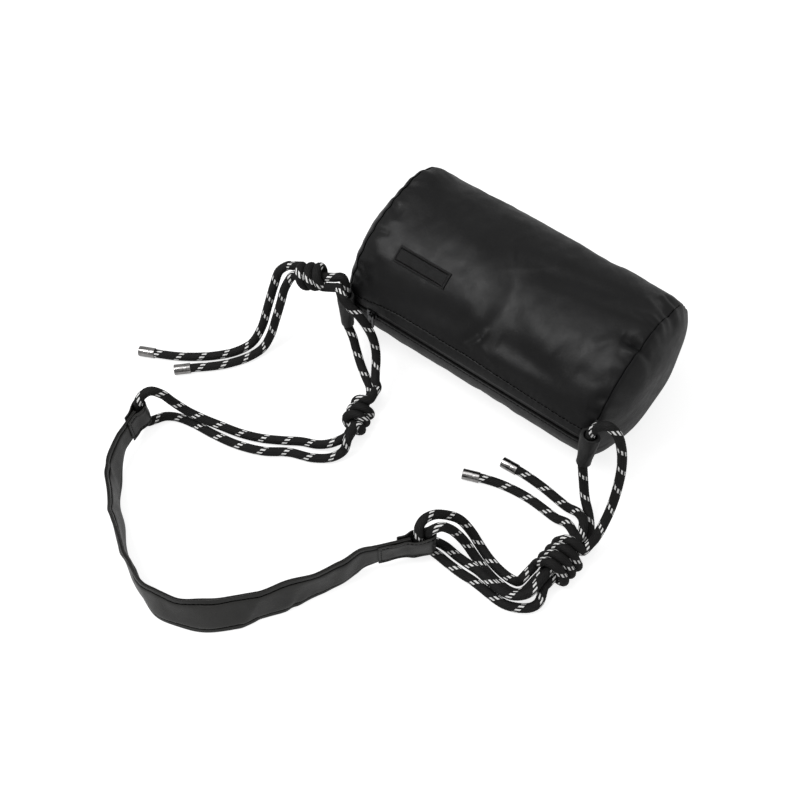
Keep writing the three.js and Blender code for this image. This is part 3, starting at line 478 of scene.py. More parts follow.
def closed_tube(count, sides):
    """Faces of a tube through rings of equal size, with its two ends closed by fans."""
    last = (count - 1) * sides
    faces = ring_faces(ring_rows(count, sides))
    faces += [[0, k + 1, k] for k in range(1, sides - 1)]
    return faces + [[last, last + k, last + k + 1] for k in range(1, sides - 1)]


def add_threads(name, threads, radius, sides=5, slimmer=0.6):
    """Short sewn threads: each has a few places on its line and the way that its cloth faces."""
    points, faces = [], []
    for line, out in threads:
        forward = unit(line[-1] - line[0])
        across = unit(np.cross(out, forward))
        sizes = radius * np.array([slimmer] + [1] * (len(line) - 2) + [slimmer])
        rings = [circle(centre, across, out, size, sides) for centre, size in zip(line, sizes)]
        tube = np.vstack(rings)
        start = len(points)
        points += tube.tolist()
        tube_faces = faced_out(tube, closed_tube(len(line), sides))
        faces += [[corner + start for corner in face] for face in tube_faces]
    return add_piece(name, points, faces, np.array(points)[:, :2], THREAD, crease=80)


# Shader helpers
class Value:
    """What a node gives, with Python's operators as maths nodes."""

    def __init__(self, socket):
        self.socket = socket
        self.tree = socket.id_data

    def calc(self, operation, *others):
        inputs = dict(enumerate((self, *others)))
        return add_node(self.tree, "Math", inputs, operation=operation)

    def ramp(self, low, high, out_low=0.0, out_high=1.0):
        """This value carried smoothly from one range to another."""
        inputs = {"Value": self, "From Min": low, "From Max": high}
        inputs |= {"To Min": out_low, "To Max": out_high}
        return add_node(self.tree, "MapRange", inputs, interpolation_type="SMOOTHSTEP")

    def noise(self, scale, detail, roughness):
        inputs = {"Vector": self, "Scale": scale, "Detail": detail, "Roughness": roughness}
        return add_node(self.tree, "TexNoise", inputs, output="Fac")

    def mix(self, first, second):
        """A colour between two colours, with this value as the share of the second."""
        inputs = {0: self, 6: first, 7: second}
        return add_node(self.tree, "Mix", inputs, output=2, data_type="RGBA")

    def output(self, name):
        return Value(self.socket.node.outputs[name])

    def __add__(self, other):
        return self.calc("ADD", other)

    def __sub__(self, other):
        return self.calc("SUBTRACT", other)

    def __rsub__(self, other):
        return add_node(self.tree, "Math", {0: other, 1: self}, operation="SUBTRACT")

    def __mul__(self, other):
        return self.calc("MULTIPLY", other)

    def __pow__(self, other):
        return self.calc("POWER", other)

    def __abs__(self):
        return self.calc("ABSOLUTE")


def put(socket, value):
    """Links a socket to a value from nodes, or sets a plain number or colour on the socket."""
    if isinstance(value, Value):
        value.tree.links.new(value.socket, socket)
    else:
        socket.default_value = (*value, 1) if isinstance(value, tuple) else value


def add_node(tree, kind, inputs=None, output=0, **settings):
    """A new node, as the value of one of its outputs."""
    made = tree.nodes.new("ShaderNode" + kind)
    for key, value in settings.items():
        setattr(made, key, value)
    for key, value in (inputs or {}).items():
        put(made.inputs[key], value)
    return Value(made.outputs[output])


def wave(value, length):
    return (value * (TURN / length)).calc("SINE")


def tinted(colour, share):
    return tuple(min(1.0, c * share) for c in colour)


class Shader:
    """A new material with one Principled shader, under the name of its slot in the record."""

    def __init__(self, name, colour, roughness, metallic=0.0):
        self.slot = name
        self.material = bpy.data.materials.new(name)
        self.material.use_nodes = True
        self.tree = self.material.node_tree
        self.inputs = self.tree.nodes["Principled BSDF"].inputs
        self.put({"Base Color": colour, "Roughness": roughness, "Metallic": metallic})

    def put(self, values):
        for name, value in values.items():
            put(self.inputs[name], value)

    def now(self, name):
        return Value(self.inputs[name].links[0].from_socket)

    def bump(self, height, distance):
        self.put({"Normal": add_node(self.tree, "Bump", {"Height": height, "Distance": distance})})

    def cloth(self):
        """The place in UVs, and its two parts in metres. On a rope the first is turns round it."""
        place = add_node(self.tree, "UVMap", uv_map="cloth")
        split = add_node(self.tree, "SeparateXYZ", {"Vector": place})
        return place, split, split.output("Y")

    def darken(self, share, colour, rougher):
        """Darkens the surface by a share, and roughens it by half of another."""
        self.put({
            "Base Color": share.mix(self.now("Base Color"), colour),
            "Roughness": rougher * 0.5 + self.now("Roughness"),
        })


# Rope material
def on_helix(turns, along, strands, lean, reach):
    """How far a place is from its strand's middle: across in strands, and along in metres."""
    spread = turns * strands
    strand = spread.calc("ROUND")
    off = spread - strand
    shifted = strand * (TRACER_PITCH / strands) + (off * lean + along)
    return abs(off), shifted.calc("WRAP", reach, -reach)


def rope_material():
    """A tight dark braid with painted shade between its floats, and one white tracer strand that
    shows as short dashes on a helix.
    """
    shader = Shader("rope_braid", (0.011, 0.0108, 0.0106), 0.74)
    _, turns, along = shader.cloth()
    off, strand_along = on_helix(turns, along, BRAID_COLUMNS, 0.0013, BRAID_STEP)
    strand = (1.0 - abs(strand_along * (1 / BRAID_STEP)) ** 3.0) * (1.0 - (off * 2.0) ** 2.0)
    streak_place = add_node(shader.tree, "CombineXYZ", {"X": turns * 90.0, "Y": along * 220.0})
    streak = streak_place.noise(1.0, 3.0, 0.6)
    dark = streak.ramp(0.35, 0.7).mix((0.0024, 0.0024, 0.0024), (0.017, 0.0166, 0.0162))
    # Painted shade: the near-black at the edges of the braid's floats stands for the shade in the
    # crevices between them
    braid = strand.ramp(0.0, 0.35).mix((0.0008, 0.0008, 0.0008), dark)

    pair_off, dash_along = on_helix(turns, along, BRAID_COLUMNS // 2, 0.0026, TRACER_PITCH / 2)
    tracer = abs(dash_along).ramp(0.00225, 0.0021) * pair_off.ramp(0.26, 0.235)
    white = streak.ramp(0.3, 0.6).mix((0.86, 0.86, 0.85), (0.97, 0.97, 0.96))
    shader.put({"Base Color": tracer.mix(braid, white), "Specular IOR Level": 0.3})
    shader.bump(streak * 0.35 + strand + tracer * 0.4, 0.00025)
    return shader


def metal_material(name, colour, roughness, streaks):
    """Turned or cast metal with a faint brushed grain and worn spots."""
    shader = Shader(name, colour, roughness, 1.0)
    place = add_node(shader.tree, "TexCoord", output="Object")
    grain = place.noise(streaks, 3.0, 0.6)
    broad = place.noise(180.0, 2.0, 0.5)
    shader.put({
        "Roughness": grain.ramp(0.3, 0.7, roughness * 0.75, roughness * 1.35),
        "Base Color": broad.ramp(0.35, 0.65).mix(tinted(colour, 0.82), tinted(colour, 1.1)),
    })
    shader.bump(grain, 0.00002)
    return shader


# Cloth materials
def nylon_material(name, colour, roughness, weave):
    """Thin coated nylon: a close weave under a soft coating, with rubbed and cloudy places."""
    shader = Shader(name, colour, roughness)
    place, across, around = shader.cloth()
    thread = wave(across, weave) * wave(around, weave)
    cloudy = place.noise(22.0, 4.0, 0.55)
    fine = place.noise(420.0, 3.0, 0.6)
    crinkle = place.noise(95.0, 5.0, 0.62)
    rubbed = add_node(shader.tree, "NewGeometry", output="Pointiness").ramp(0.505, 0.56)
    worn = rubbed * fine.ramp(0.4, 0.65) * 0.35
    base = cloudy.ramp(0.3, 0.7).mix(tinted(colour, 0.78), tinted(colour, 1.22))
    shader.put({
        "Base Color": worn.mix(base, tinted(colour, 2.6)),
        "Roughness": crinkle.ramp(0.25, 0.75, roughness - 0.05, roughness + 0.07),
        "Specular IOR Level": 0.3, "Sheen Weight": 0.015, "Sheen Roughness": 0.45,
    })
    shader.bump(crinkle * 1.6 + (fine * 0.3 + thread * 0.07), 0.00016)
    return shader


def woven_material(name, colour, roughness, rib, gloss=0.3):
    """Woven tape or ribbon: close ribs across it and a finer thread along it."""
    shader = Shader(name, colour, roughness)
    place, across, around = shader.cloth()
    weave = wave(around, rib * 0.7) * 0.5 + wave(across, rib)
    cloudy = place.noise(130.0, 4.0, 0.6)
    shade = (cloudy * 1.2 + weave * 0.25).ramp(0.1, 1.1)
    shader.put({
        "Base Color": shade.mix(tinted(colour, 0.6), tinted(colour, 1.5)),
        "Roughness": cloudy.ramp(0.3, 0.7, roughness - 0.08, roughness + 0.08),
        "Specular IOR Level": gloss,
    })
    shader.bump(cloudy * 0.8 + weave, 0.00007)
    return shader


def darken_slot(shader):
    """The folded lips of the zip's slot lie in their own shadow."""
    _, _, around = shader.cloth()
    from_zip = around.calc("MINIMUM", GIRTH - around)
    lips = 1.0 - from_zip.ramp(0.0017, 0.0026)
    shader.darken(lips, (0.0008, 0.0008, 0.0008), lips)


def paint_seam_shade(shader, height, stitch, pitch):
    """Painted shade: dark lines along both rows of stitches, for the shade in their grooves, and a
    darker border outside them, for the shade that falls at the strap's edges.
    """
    _, along, up = shader.cloth()
    from_edge = up.calc("MINIMUM", height - up)
    line = 1.0 - abs(from_edge - stitch).ramp(0.0005, 0.0009)
    dashes = wave(along, pitch).ramp(-0.9, -0.5, 0.55, 1.0)
    border = 1.0 - from_edge.ramp(stitch - 0.0006, stitch + 0.0002)
    shader.darken((line * dashes).calc("MAXIMUM", border * 0.4), (0.0015, 0.0015, 0.0015), line)


STRAP_STITCH = 0.0047
STITCH_PITCH = 0.0036
ROPE_BRAID = rope_material()
TIP_METAL = metal_material("tip_metal", (0.4, 0.39, 0.385), 0.14, 2600.0)
BLACK_METAL = metal_material("black_metal", (0.1, 0.1, 0.103), 0.15, 2200.0)
NYLON = nylon_material("coated_nylon", (0.0058, 0.0058, 0.0061), 0.44, 0.00042)
darken_slot(NYLON)
TUNNEL_CLOTH = nylon_material("tunnel_cloth", (0.0105, 0.0105, 0.0105), 0.45, 0.00045)
STRAP_CLOTH = nylon_material("strap_cloth", (0.032, 0.0315, 0.03), 0.3, 0.00045)
# Painted shade along the strap's stitching and at its edges
paint_seam_shade(STRAP_CLOTH, STRAP_HEIGHT, STRAP_STITCH, STITCH_PITCH)
STRAP_FOAM = woven_material("strap_foam", (0.02, 0.02, 0.021), 0.95, 0.0009)
LINING = woven_material("lining", (0.01, 0.01, 0.011), 0.8, 0.0005)
TAPE = woven_material("zip_tape", (0.0022, 0.0022, 0.0024), 0.85, 0.0006, gloss=0.06)
LABEL = woven_material("label_cloth", (0.0045, 0.0045, 0.0047), 0.46, 0.00045, gloss=0.5)
THREAD = woven_material("sewing_thread", (0.0011, 0.0011, 0.0012), 0.8, 0.0003, gloss=0.04)
ZIP_NYLON = metal_material("zip_nylon", (0.004, 0.004, 0.0045), 0.5, 900.0)
ZIP_NYLON.put({"Metallic": 0.0, "Specular IOR Level": 0.12})


# Ropes
def rope_rings(line):
    """Ring centres and ring points of a whole rope, whose strands stand a little proud."""
    centres = resample(line, round(lengths_along(line)[-1] / BRAID_STEP))
    forward = directions(centres)
    across = unit(np.cross((0, 0, 1), forward[0]))
    side = np.arange(2 * BRAID_COLUMNS)
    rings = []
    for i, (centre, way) in enumerate(zip(centres, forward)):
        across = unit(across - way * (across @ way))
        crown = np.cos(math.pi * (i + side // 2))
        radius = ROPE_RADIUS + BRAID_RELIEF * np.where(side % 2 == 0, 0.4 + 0.6 * crown, -1)
        ring = circle(centre, across, np.cross(way, across), radius, len(side))
        ring[:, 2] = np.maximum(ring[:, 2], 0)
        rings.append(ring)
    return centres, np.array(rings)


def tube_uvs(faces, sides, first_ring):
    """Turns round the rope and metres along it, for each corner of each face.

    The face that closes a ring takes the ring's first side as a whole turn.
    """
    uvs = []
    for face in faces:
        closing = len(face) == 4 and {corner % sides for corner in face} == {0, sides - 1}
        for corner in face:
            turned = (corner % sides or sides * closing) / sides
            uvs.append((turned, (corner // sides + first_ring) * BRAID_STEP))
    return uvs


def add_tip(name, node, end, inward):
    """The crimped metal cup at a rope's end, turned round its own axis."""
    outward = unit(np.subtract(end, inward))
    foot = np.array(end) - outward * (TIP_BORE_DEPTH - SEAT)
    across = unit(np.cross((0, 0, 1), outward))
    up = np.cross(outward, across)
    middle, rim = TIP_RADIUS - TIP_EDGE, TIP_LENGTH - TIP_EDGE
    profile = [(0.0, TIP_LENGTH)]
    for a in np.linspace(0, math.pi / 2, 5):
        profile.append((middle + TIP_EDGE * math.sin(a), rim + TIP_EDGE * math.cos(a)))
    for crimp in CRIMPS:
        for d in np.linspace(-0.0006, 0.0006, 9):
            profile.append((TIP_RADIUS - CRIMP_DEPTH * bell(d, 0.00035), crimp - d))
    for a in np.linspace(0, math.pi / 2, 4):
        height = TIP_ROLL - TIP_ROLL * math.sin(a)
        profile.append((TIP_RADIUS - TIP_ROLL + TIP_ROLL * math.cos(a), height))
    profile += [(TIP_BORE, 0.0), (TIP_BORE, TIP_BORE_DEPTH), (0.0, TIP_BORE_DEPTH)]
    points, rows = [], []
    for radius, height in profile:
        ring = circle(foot + outward * height, across, up, radius, TIP_SIDES if radius else 1)
        rows.append(range(len(points), len(points) + len(ring)))
        points += ring.tolist()
    faces = faced_out(points, ring_faces(rows))
    return add_piece(name, points, faces, None, TIP_METAL, node, crease=35)


def add_rope(name, line, side):
    """A rope as two cords, each from the middle of its tunnel to its own metal tip."""
    centres, rings = rope_rings(line)
    middle = int(np.argmin(np.linalg.norm(centres - np.array(TUNNELS[side]), axis=1)))
    for end, first, last, tip, inward in (
        ("a", 0, middle, line[0], line[1]), ("b", middle, len(centres) - 1, line[-1], line[-2]),
    ):
        cap = add_tip(f"{name}_cap_{end}", f"{name}_tip_{end}", tip, inward)
        part = rings[first:last + 1]
        points = part.reshape(-1, 3)
        faces = faced_out(points, closed_tube(*part.shape[:2]))
        uvs = tube_uvs(faces, part.shape[1], first)
        cord = add_piece(f"{name}_{end}", points, faces, uvs, ROPE_BRAID, name, crease=80)
        path = centres[first:last + 1]
        path = path[::-1] if end == "a" else path


add_rope("left_rope", left_rope_line(), "left")
add_rope("right_rope", right_rope_line(), "right")


# Bag cloth
def fold(x, a, places, width, depth, far=None, sharp=False):
    """How far a fold along a line of places pushes the skin in. A depth below nothing is a ridge.

    The skin may rise again over another width, far, on the left of the line.
    """
    places = np.array(places)
    along = lengths_along(places)
    nearest = np.full(np.broadcast(x, a).shape, np.inf)
    share = np.zeros_like(nearest)
    wide = np.full_like(nearest, width)
    for (x0, a0), (x1, a1), start, end in zip(places, places[1:], along, along[1:]):
        run_x, run_a = x1 - x0, a1 - a0
        part = np.clip(((x - x0) * run_x + (a - a0) * run_a) / (run_x**2 + run_a**2), 0, 1)
        gap = np.hypot(x - x0 - part * run_x, a - a0 - part * run_a)
        closer = gap < nearest
        nearest = np.where(closer, gap, nearest)
        share = np.where(closer, (start + part * (end - start)) / along[-1], share)
        if far:
            on_left = run_x * (a - a0) - run_a * (x - x0) > 0
            wide = np.where(closer, np.where(on_left, far, width), wide)
    fade = 0.25 + 0.75 * np.sqrt(np.clip(4 * share * (1 - share), 0, 1))
    hollow = bell(nearest, wide)
    if sharp:
        hollow = 0.4 * hollow + 0.6 * np.exp(-1.6 * nearest / width)
    return depth * fade * hollow


# The folds that the photograph shows: places as x and a, width, depth, and what else is set
FOLDS = [
    ([(0.003, 0.099), (0.0135, 0.086), (0.0154, 0.069), (0.014, 0.051), (0.006, 0.036)],
     0.011, 0.0046, 0.027),
    ([(-0.028, 0.068), (-0.015, 0.061), (0.0007, 0.0515), (0.0095, 0.043)], 0.0075, -0.0008),
    ([(0.0105, 0.047), (0.0075, 0.0356), (0.0005, 0.026)], 0.0028, -0.0024, None, True),
    ([(0.0035, 0.0425), (0.001, 0.035), (-0.005, 0.027)], 0.0042, 0.0019),
    ([(0.0015, 0.026), (0.026, 0.0304), (0.046, 0.032), (0.069, 0.034)], 0.0065, -0.0011),
    ([(0.0096, 0.104), (0.0235, 0.09), (0.0458, 0.068), (0.072, 0.062)], 0.013, -0.0018),
    ([(-0.087, 0.026), (-0.043, 0.038), (-0.008, 0.04)], 0.011, 0.003),
    ([(0.022, 0.044), (0.055, 0.043), (0.086, 0.042)], 0.0095, 0.0028),
    ([(0.006, 0.107), (0.044, 0.115), (0.076, 0.119), (0.105, 0.128), (0.125, 0.142)],
     0.0105, 0.0034),
    ([(-0.078, 0.127), (-0.042, 0.123), (-0.018, 0.117)], 0.014, 0.0016),
    ([(-0.063, 0.1), (-0.03, 0.094), (-0.01, 0.086)], 0.012, -0.0012),
    ([(0.109, 0.0935), (0.1275, 0.0957)], 0.0052, 0.0054, None, True),
    ([(0.093, 0.076), (0.102, 0.087), (0.108, 0.094)], 0.005, -0.0013),
    ([(0.114, 0.0885), (0.1255, 0.0885)], 0.0035, -0.0008),
    ([(0.1095, 0.15), (0.121, 0.145), (0.1265, 0.132)], 0.0062, 0.0028),
    ([(0.1, 0.139), (0.114, 0.128), (0.1185, 0.112)], 0.006, -0.0013),
    ([(-0.126, 0.095), (-0.111, 0.09)], 0.0045, 0.0017),
    ([(-0.126, 0.118), (-0.104, 0.121)], 0.006, 0.0013),
    ([(-0.117, 0.046), (-0.108, 0.0535), (-0.094, 0.0565)], 0.006, -0.0012),
    ([(-0.126, 0.034), (-0.114, 0.027)], 0.009, 0.0022),
    ([(-0.102, 0.037), (-0.078, 0.045), (-0.062, 0.051)], 0.009, 0.001),
    ([(0.118, 0.06), (0.108, 0.056), (0.092, 0.057)], 0.007, 0.0009),
    ([(0.126, 0.04), (0.113, 0.036)], 0.007, 0.0014),
]
SEAM_FOLD_X = 0.1262
SEAM_FOLD_PITCH = 0.0105
BACK_FOLDS = 26

# Where the hem's stitching runs above the slot, as x and a, and below it
HEM_PLACES = ([-0.125, -0.105, -0.09, -0.07, -0.04, 0.0, 0.05, 0.1, 0.125],
              [0.0095, 0.0115, 0.0145, 0.0168, 0.017, 0.017, 0.015, 0.0135, 0.0135])
LOWER_HEM = 0.0052


def seam_folds():
    """Small folds that run in from both end seams, and long ones across the back."""
    chance = np.random.default_rng(41)
    made = []
    for end in (-1, 1):
        for a in np.arange(0.03, GIRTH - 0.03, SEAM_FOLD_PITCH):
            a += chance.uniform(-0.004, 0.004)
            reach = chance.uniform(0.006, 0.026)
            stop = (end * (SEAM_FOLD_X - reach), a + chance.uniform(-0.006, 0.006))
            places = [(end * SEAM_FOLD_X, a), stop]
            made.append((places, chance.uniform(0.0022, 0.0048), chance.uniform(-0.0009, 0.0016)))
    for _ in range(BACK_FOLDS):
        x, a = chance.uniform(-0.1, 0.1), chance.uniform(0.165, GIRTH - 0.045)
        reach, turn = chance.uniform(0.015, 0.04), chance.uniform(-0.7, 0.7)
        step_x, step_a = reach * math.cos(turn), reach * math.sin(turn)
        middle = (x, a + chance.uniform(-0.004, 0.004))
        places = [(x - step_x, a - step_a), middle, (x + step_x, a + step_a)]
        made.append((places, chance.uniform(0.005, 0.011), chance.uniform(-0.0018, 0.0027)))
    return made


ALL_FOLDS = FOLDS + seam_folds()


def soft_waves(x, a, seed, count, longest, height):
    """A gentle unevenness made of a few plane waves."""
    chance = np.random.default_rng(seed)
    total = 0
    for _ in range(count):
        turn, phase = chance.uniform(0, TURN, 2)
        length = chance.uniform(0.35, 1) * longest
        ahead = x * math.cos(turn) + a * math.sin(turn)
        total = total + length / longest * np.sin(TURN * ahead / length + phase)
    return height * total / math.sqrt(count)


def bag_relief(x, a):
    """How far the skin stands out from its plain barrel."""
    x, a = np.broadcast_arrays(np.asarray(x, float), np.asarray(a, float))
    from_zip = np.minimum(np.abs(a), GIRTH - np.abs(a))
    from_end = BAG_HALF_LENGTH - np.abs(x)
    relief = soft_waves(x, a, 7, 16, 0.06, 0.0005) + soft_waves(x, a, 19, 22, 0.022, 0.00018)
    for line in ALL_FOLDS:
        relief = relief - fold(x, a, *line)
    crown = 0.0012 * bell(a - 0.163, 0.026) * smoothstep(from_end, 0.02, 0.05)
    end_pucker = 0.0007 * np.sin(TURN * a / 0.0135 + 1.9 * np.sin(a / 0.017) + 2 * x)
    end_pucker *= bell(from_end, 0.0075)
    corner = 0.0072 * bell(a - 0.136, 0.032) * bell(x + BAG_HALF_LENGTH, 0.02)
    relief = (relief + crown + end_pucker + corner) * smoothstep(from_zip, 0.008, 0.03)
    upper = a < GIRTH / 2
    hem = np.where(upper, np.interp(x, *HEM_PLACES), LOWER_HEM)
    past_hem = smoothstep(from_zip, hem - 0.0002, hem + 0.0014)
    doubled = smoothstep(from_zip, 0.0042, 0.0062) * (1 - past_hem)
    groove = np.where(upper, 0.0009, 0.0004) * bell(from_zip - hem, 0.0007)
    relief = relief + 0.0006 * np.where(upper, doubled, 0) - groove
    pucker = np.sin(TURN * x / 0.0074 + 2.4 * np.sin(x / 0.011)) * bell(from_zip - hem, 0.0045)
    return relief + np.where(upper, 0.00026, 0.0001) * pucker


def bag_skin(x, a, inset=0.0, relief=None):
    """Places of the skin at x and a. It lies on the floor with a soft edge."""
    x, a = np.broadcast_arrays(np.asarray(x, float), np.asarray(a, float))
    angle = a / BAG_HALF_HEIGHT
    past = np.clip((np.abs(x) - (BAG_HALF_LENGTH - END_TAPER)) / END_TAPER, 0, 1)
    drawn = 1 - END_DRAW_SHARE * past**2
    push = (bag_relief(x, a) if relief is None else relief) - inset
    height = BAG_MIDDLE + (BAG_HALF_HEIGHT * drawn + push) * np.sin(angle)
    soft = 0.0008
    height = inset + soft * np.logaddexp(0, (height - inset) / soft)
    return np.stack([x, -(BAG_HALF_DEPTH * drawn + push) * np.cos(angle), height], -1)


def stations(*stretches):
    """Distances along a piece: each stretch is its start, its end and its step."""
    found = []
    for start, end, step in stretches:
        found.append(np.linspace(start, end, max(2, round(abs(end - start) / step) + 1))[:-1])
    return np.concatenate(found + [[stretches[-1][1]]])


def grid(u, v):
    return np.meshgrid(u, v, indexing="ij")


def add_sheet(name, front, back, u, v, shader, node, crease=50):
    """A closed piece of cloth between two grids of places, joined round their edges."""
    index = np.arange(u.size).reshape(u.shape)
    points = np.concatenate([front.reshape(-1, 3), back.reshape(-1, 3)])
    corners = [index[:-1, :-1], index[:-1, 1:], index[1:, 1:], index[1:, :-1]]
    quads = np.stack(corners, -1).reshape(-1, 4)
    edge = [index[:, 0], index[-1, 1:], index[-2::-1, -1], index[0, -2:0:-1]]
    here = np.concatenate(edge)
    there = np.roll(here, -1)
    rim = np.stack([there, here, here + u.size, there + u.size], -1)
    faces = faced_out(points, np.concatenate([quads, quads[:, ::-1] + u.size, rim]).tolist())
    place = np.stack([u, v], -1).reshape(-1, 2)
    return add_piece(name, points, faces, np.concatenate([place, place]), shader, node, crease)


# Bag shell, lining and zip
def build_body():
    lip, seam, end = ZIP_SLOT / 2, 0.1225, BAG_HALF_LENGTH
    x = stations((-end, -seam, 0.00045), (-seam, -0.1, 0.0012), (-0.1, 0.1, 0.0017),
                 (0.1, seam, 0.0012), (seam, end, 0.00045))
    a = stations(
        (lip, lip + 0.0012, 0.0002), (lip + 0.0012, 0.0085, 0.0008), (0.0085, 0.019, 0.00038),
        (0.019, 0.023, 0.0008), (0.023, 0.165, 0.0016), (0.165, GIRTH - 0.02, 0.0034),
        (GIRTH - 0.02, GIRTH - 0.008, 0.0011), (GIRTH - 0.008, GIRTH - lip - 0.0012, 0.0005),
        (GIRTH - lip - 0.0012, GIRTH - lip, 0.0002),
    )
    x, a = grid(x, a)
    relief = bag_relief(x, a)
    at_end = rounded(end - np.abs(x), 0.0016)
    at_slot = rounded(np.minimum(a, GIRTH - a) - lip, SHELL_WALL / 2)
    front = bag_skin(x, a, np.maximum(at_end * 0.9, at_slot), relief)
    back = bag_skin(x, a, SHELL_WALL - at_slot * 0.98, relief)
    add_sheet("bag_shell", front, back, x, a, NYLON, "body_panel")

    edge = TAPE_GAP / 2 + TAPE_WIDTH + SEAT
    x, a = grid(
        stations((-end, -0.11, 0.003), (-0.11, 0.11, 0.005), (0.11, end, 0.003)),
        stations((edge, 0.165, 0.004), (0.165, GIRTH - edge, 0.007)),
    )
    relief = np.minimum(bag_relief(x, a), 0.002) - 0.0004
    inside = SHELL_WALL + SEAT
    front, back = bag_skin(x, a, inside, relief), bag_skin(x, a, inside + LINING_WALL, relief)
    add_sheet("bag_lining", front, back, x, a, LINING, "lining_body")

    near = TAPE_GAP / 2
    cord = near + 0.0022
    for name, side in (("upper", 1), ("lower", -1)):
        a = stations((near, near + 0.0009, 0.0003), (near + 0.0009, near + TAPE_WIDTH, 0.0011))
        x, a = grid(stations((-end, end, 0.0025)), side * a)
        front = bag_skin(x, a, inside - 0.00006 * bell(np.abs(a) - cord, 0.0006), 0)
        back = bag_skin(x, a, inside + TAPE_WALL, 0)
        add_sheet(f"zip_tape_cloth_{name}", front, back, x, a, TAPE, f"zip_tape_{name}")


CAP_BULGE = 0.0165
CAP_POWER = 3.5
CAP_RADIUS = 0.073
CAP_TURNS = 168
CAP_DENTS = [
    ((-0.012, 0.118), 0.009, 0.0016), ((-0.03, 0.108), 0.011, -0.001),
    ((-0.045, 0.075), 0.016, 0.0015), ((0.01, 0.095), 0.014, -0.0012),
]


def dome(side, share, angle, inset):
    """Places of an end panel: the share of the way to its rim, and the angle from the zip."""
    rim = 1 - END_DRAW_SHARE
    a = np.mod(angle, TURN) * BAG_HALF_HEIGHT
    at_rim = bag_relief(np.full_like(a, side * BAG_HALF_LENGTH), a) * smoothstep(share, 0.72, 1.0)
    across = share * np.cos(angle) * (BAG_HALF_DEPTH * rim - inset + at_rim)
    up = share * np.sin(angle) * (BAG_HALF_HEIGHT * rim - inset + at_rim)
    from_rim = (1 - share) * CAP_RADIUS
    welt = 0.0013 * np.sqrt(1 - (1 - np.clip(from_rim / 0.0022, 0, 1)) ** 2)
    chance = np.random.default_rng(5 + side)
    puckers = 0
    for turn in np.arange(0, TURN, 0.16):
        turn += chance.uniform(-0.06, 0.06)
        off = np.angle(np.exp(1j * (angle - turn)))
        reach = chance.uniform(0.006, 0.02)
        depth = chance.uniform(-0.00075, 0.0005)
        puckers = puckers + depth * bell(off, 0.035) * bell(from_rim, reach)
    slack = soft_waves(across, up, 23 + side, 14, 0.08, 0.0009) * (0.35 + 0.65 * share)
    slack = slack * smoothstep(from_rim, 0.0, 0.012)
    if side > 0:
        for (middle_y, middle_z), width, depth in CAP_DENTS:
            off = np.hypot(-across - middle_y, BAG_MIDDLE + up - middle_z)
            slack = slack - depth * bell(off, width)
    slack = slack * smoothstep(from_rim, 0.0, 0.006)
    out = (CAP_BULGE - inset) * (1 - share**CAP_POWER) + welt + puckers + slack
    x = side * (BAG_HALF_LENGTH + SEAT + np.maximum(out, 0.0))
    height = np.maximum(BAG_MIDDLE + up, inset * 0.2 + 0.0002)
    return np.stack([x, -across, height], -1)


def build_ends():
    spans = ((0.02, 0.93, 34), (0.94, 0.985, 8), (0.989, 1, 6))
    cap_rings = np.concatenate([np.linspace(*span) for span in spans])
    lining_rings = np.linspace(0.04, 1, 16)
    angle = TURN * np.arange(CAP_TURNS) / CAP_TURNS
    inside = SHELL_WALL + 2 * SEAT
    for name, side in (("left", -1), ("right", 1)):
        for piece, node, inset, wall, shader, rings in (
            ("end_cap", "end_panel", 0.0, SHELL_WALL, NYLON, cap_rings),
            ("end_lining", "lining_end", inside, LINING_WALL, LINING, lining_rings),
        ):
            spread, turned = grid(rings, angle)
            front, back = (dome(side, spread, turned, depth) for depth in (inset, inset + wall))
            count, second = len(rings), spread.size
            poles = front[0].mean(0), back[0].mean(0)
            points = np.vstack([front.reshape(-1, 3), back.reshape(-1, 3), *poles])
            front_rows, back_rows = (ring_rows(count, CAP_TURNS, start) for start in (0, second))
            rows = [[2 * second], *front_rows, *back_rows[::-1], [2 * second + 1]]
            faces, uvs = faced_out(points, ring_faces(rows)), points[:, 1:]
            add_piece(f"{piece}_{name}", points, faces, uvs, shader, f"{node}_{name}", crease=60)


ZIP_EDGES = {
    "zip_teeth_upper": 0, "zip_teeth_lower": 0, "zip_slider": 0.00028, "zip_puller": 0.0003,
    "zip_top_stop_upper": 0.00025, "zip_top_stop_lower": 0.00025, "zip_bottom_stop": 0.00025,
}


def dress_zip():
    """The zip's rigid parts are the CAD solids with new materials, and metal has softened edges."""
    for node, edge in ZIP_EDGES.items():
        piece = nodes[node]
        piece.data.materials.clear()
        piece.data.materials.append((BLACK_METAL if edge else ZIP_NYLON).material)
        if edge:
            bevel = piece.modifiers.new("softened", "BEVEL")
            bevel.width = edge
            bevel.segments = 2
            bevel.limit_method = "ANGLE"
            bevel.angle_limit = math.radians(35)


def add_stitches(name, places, length, radius):
    """Threads that lie on the bag's skin: each is x, a, its direction and its height."""
    steps = np.array([-0.5, -0.42, -0.2, 0.2, 0.42, 0.5]) * length
    sunk = np.array([-1.6, -0.4, 0.35, 0.35, -0.4, -1.6]) * radius
    threads = []
    for x, a, way, proud in places:
        way = unit(way)
        line = bag_skin(x + steps * way[0], a + steps * way[1], -(proud + sunk))
        threads.append((line, unit(bag_skin(x, a, -0.001) - bag_skin(x, a, 0.0))))
    add_threads(name, threads, radius, sides=6, slimmer=0.55)


LABEL_X = -0.067
LABEL_A = 0.064
LABEL_HALF_LENGTH = 0.0265
LABEL_HALF_HEIGHT = 0.007
LABEL_STITCH = 0.0021


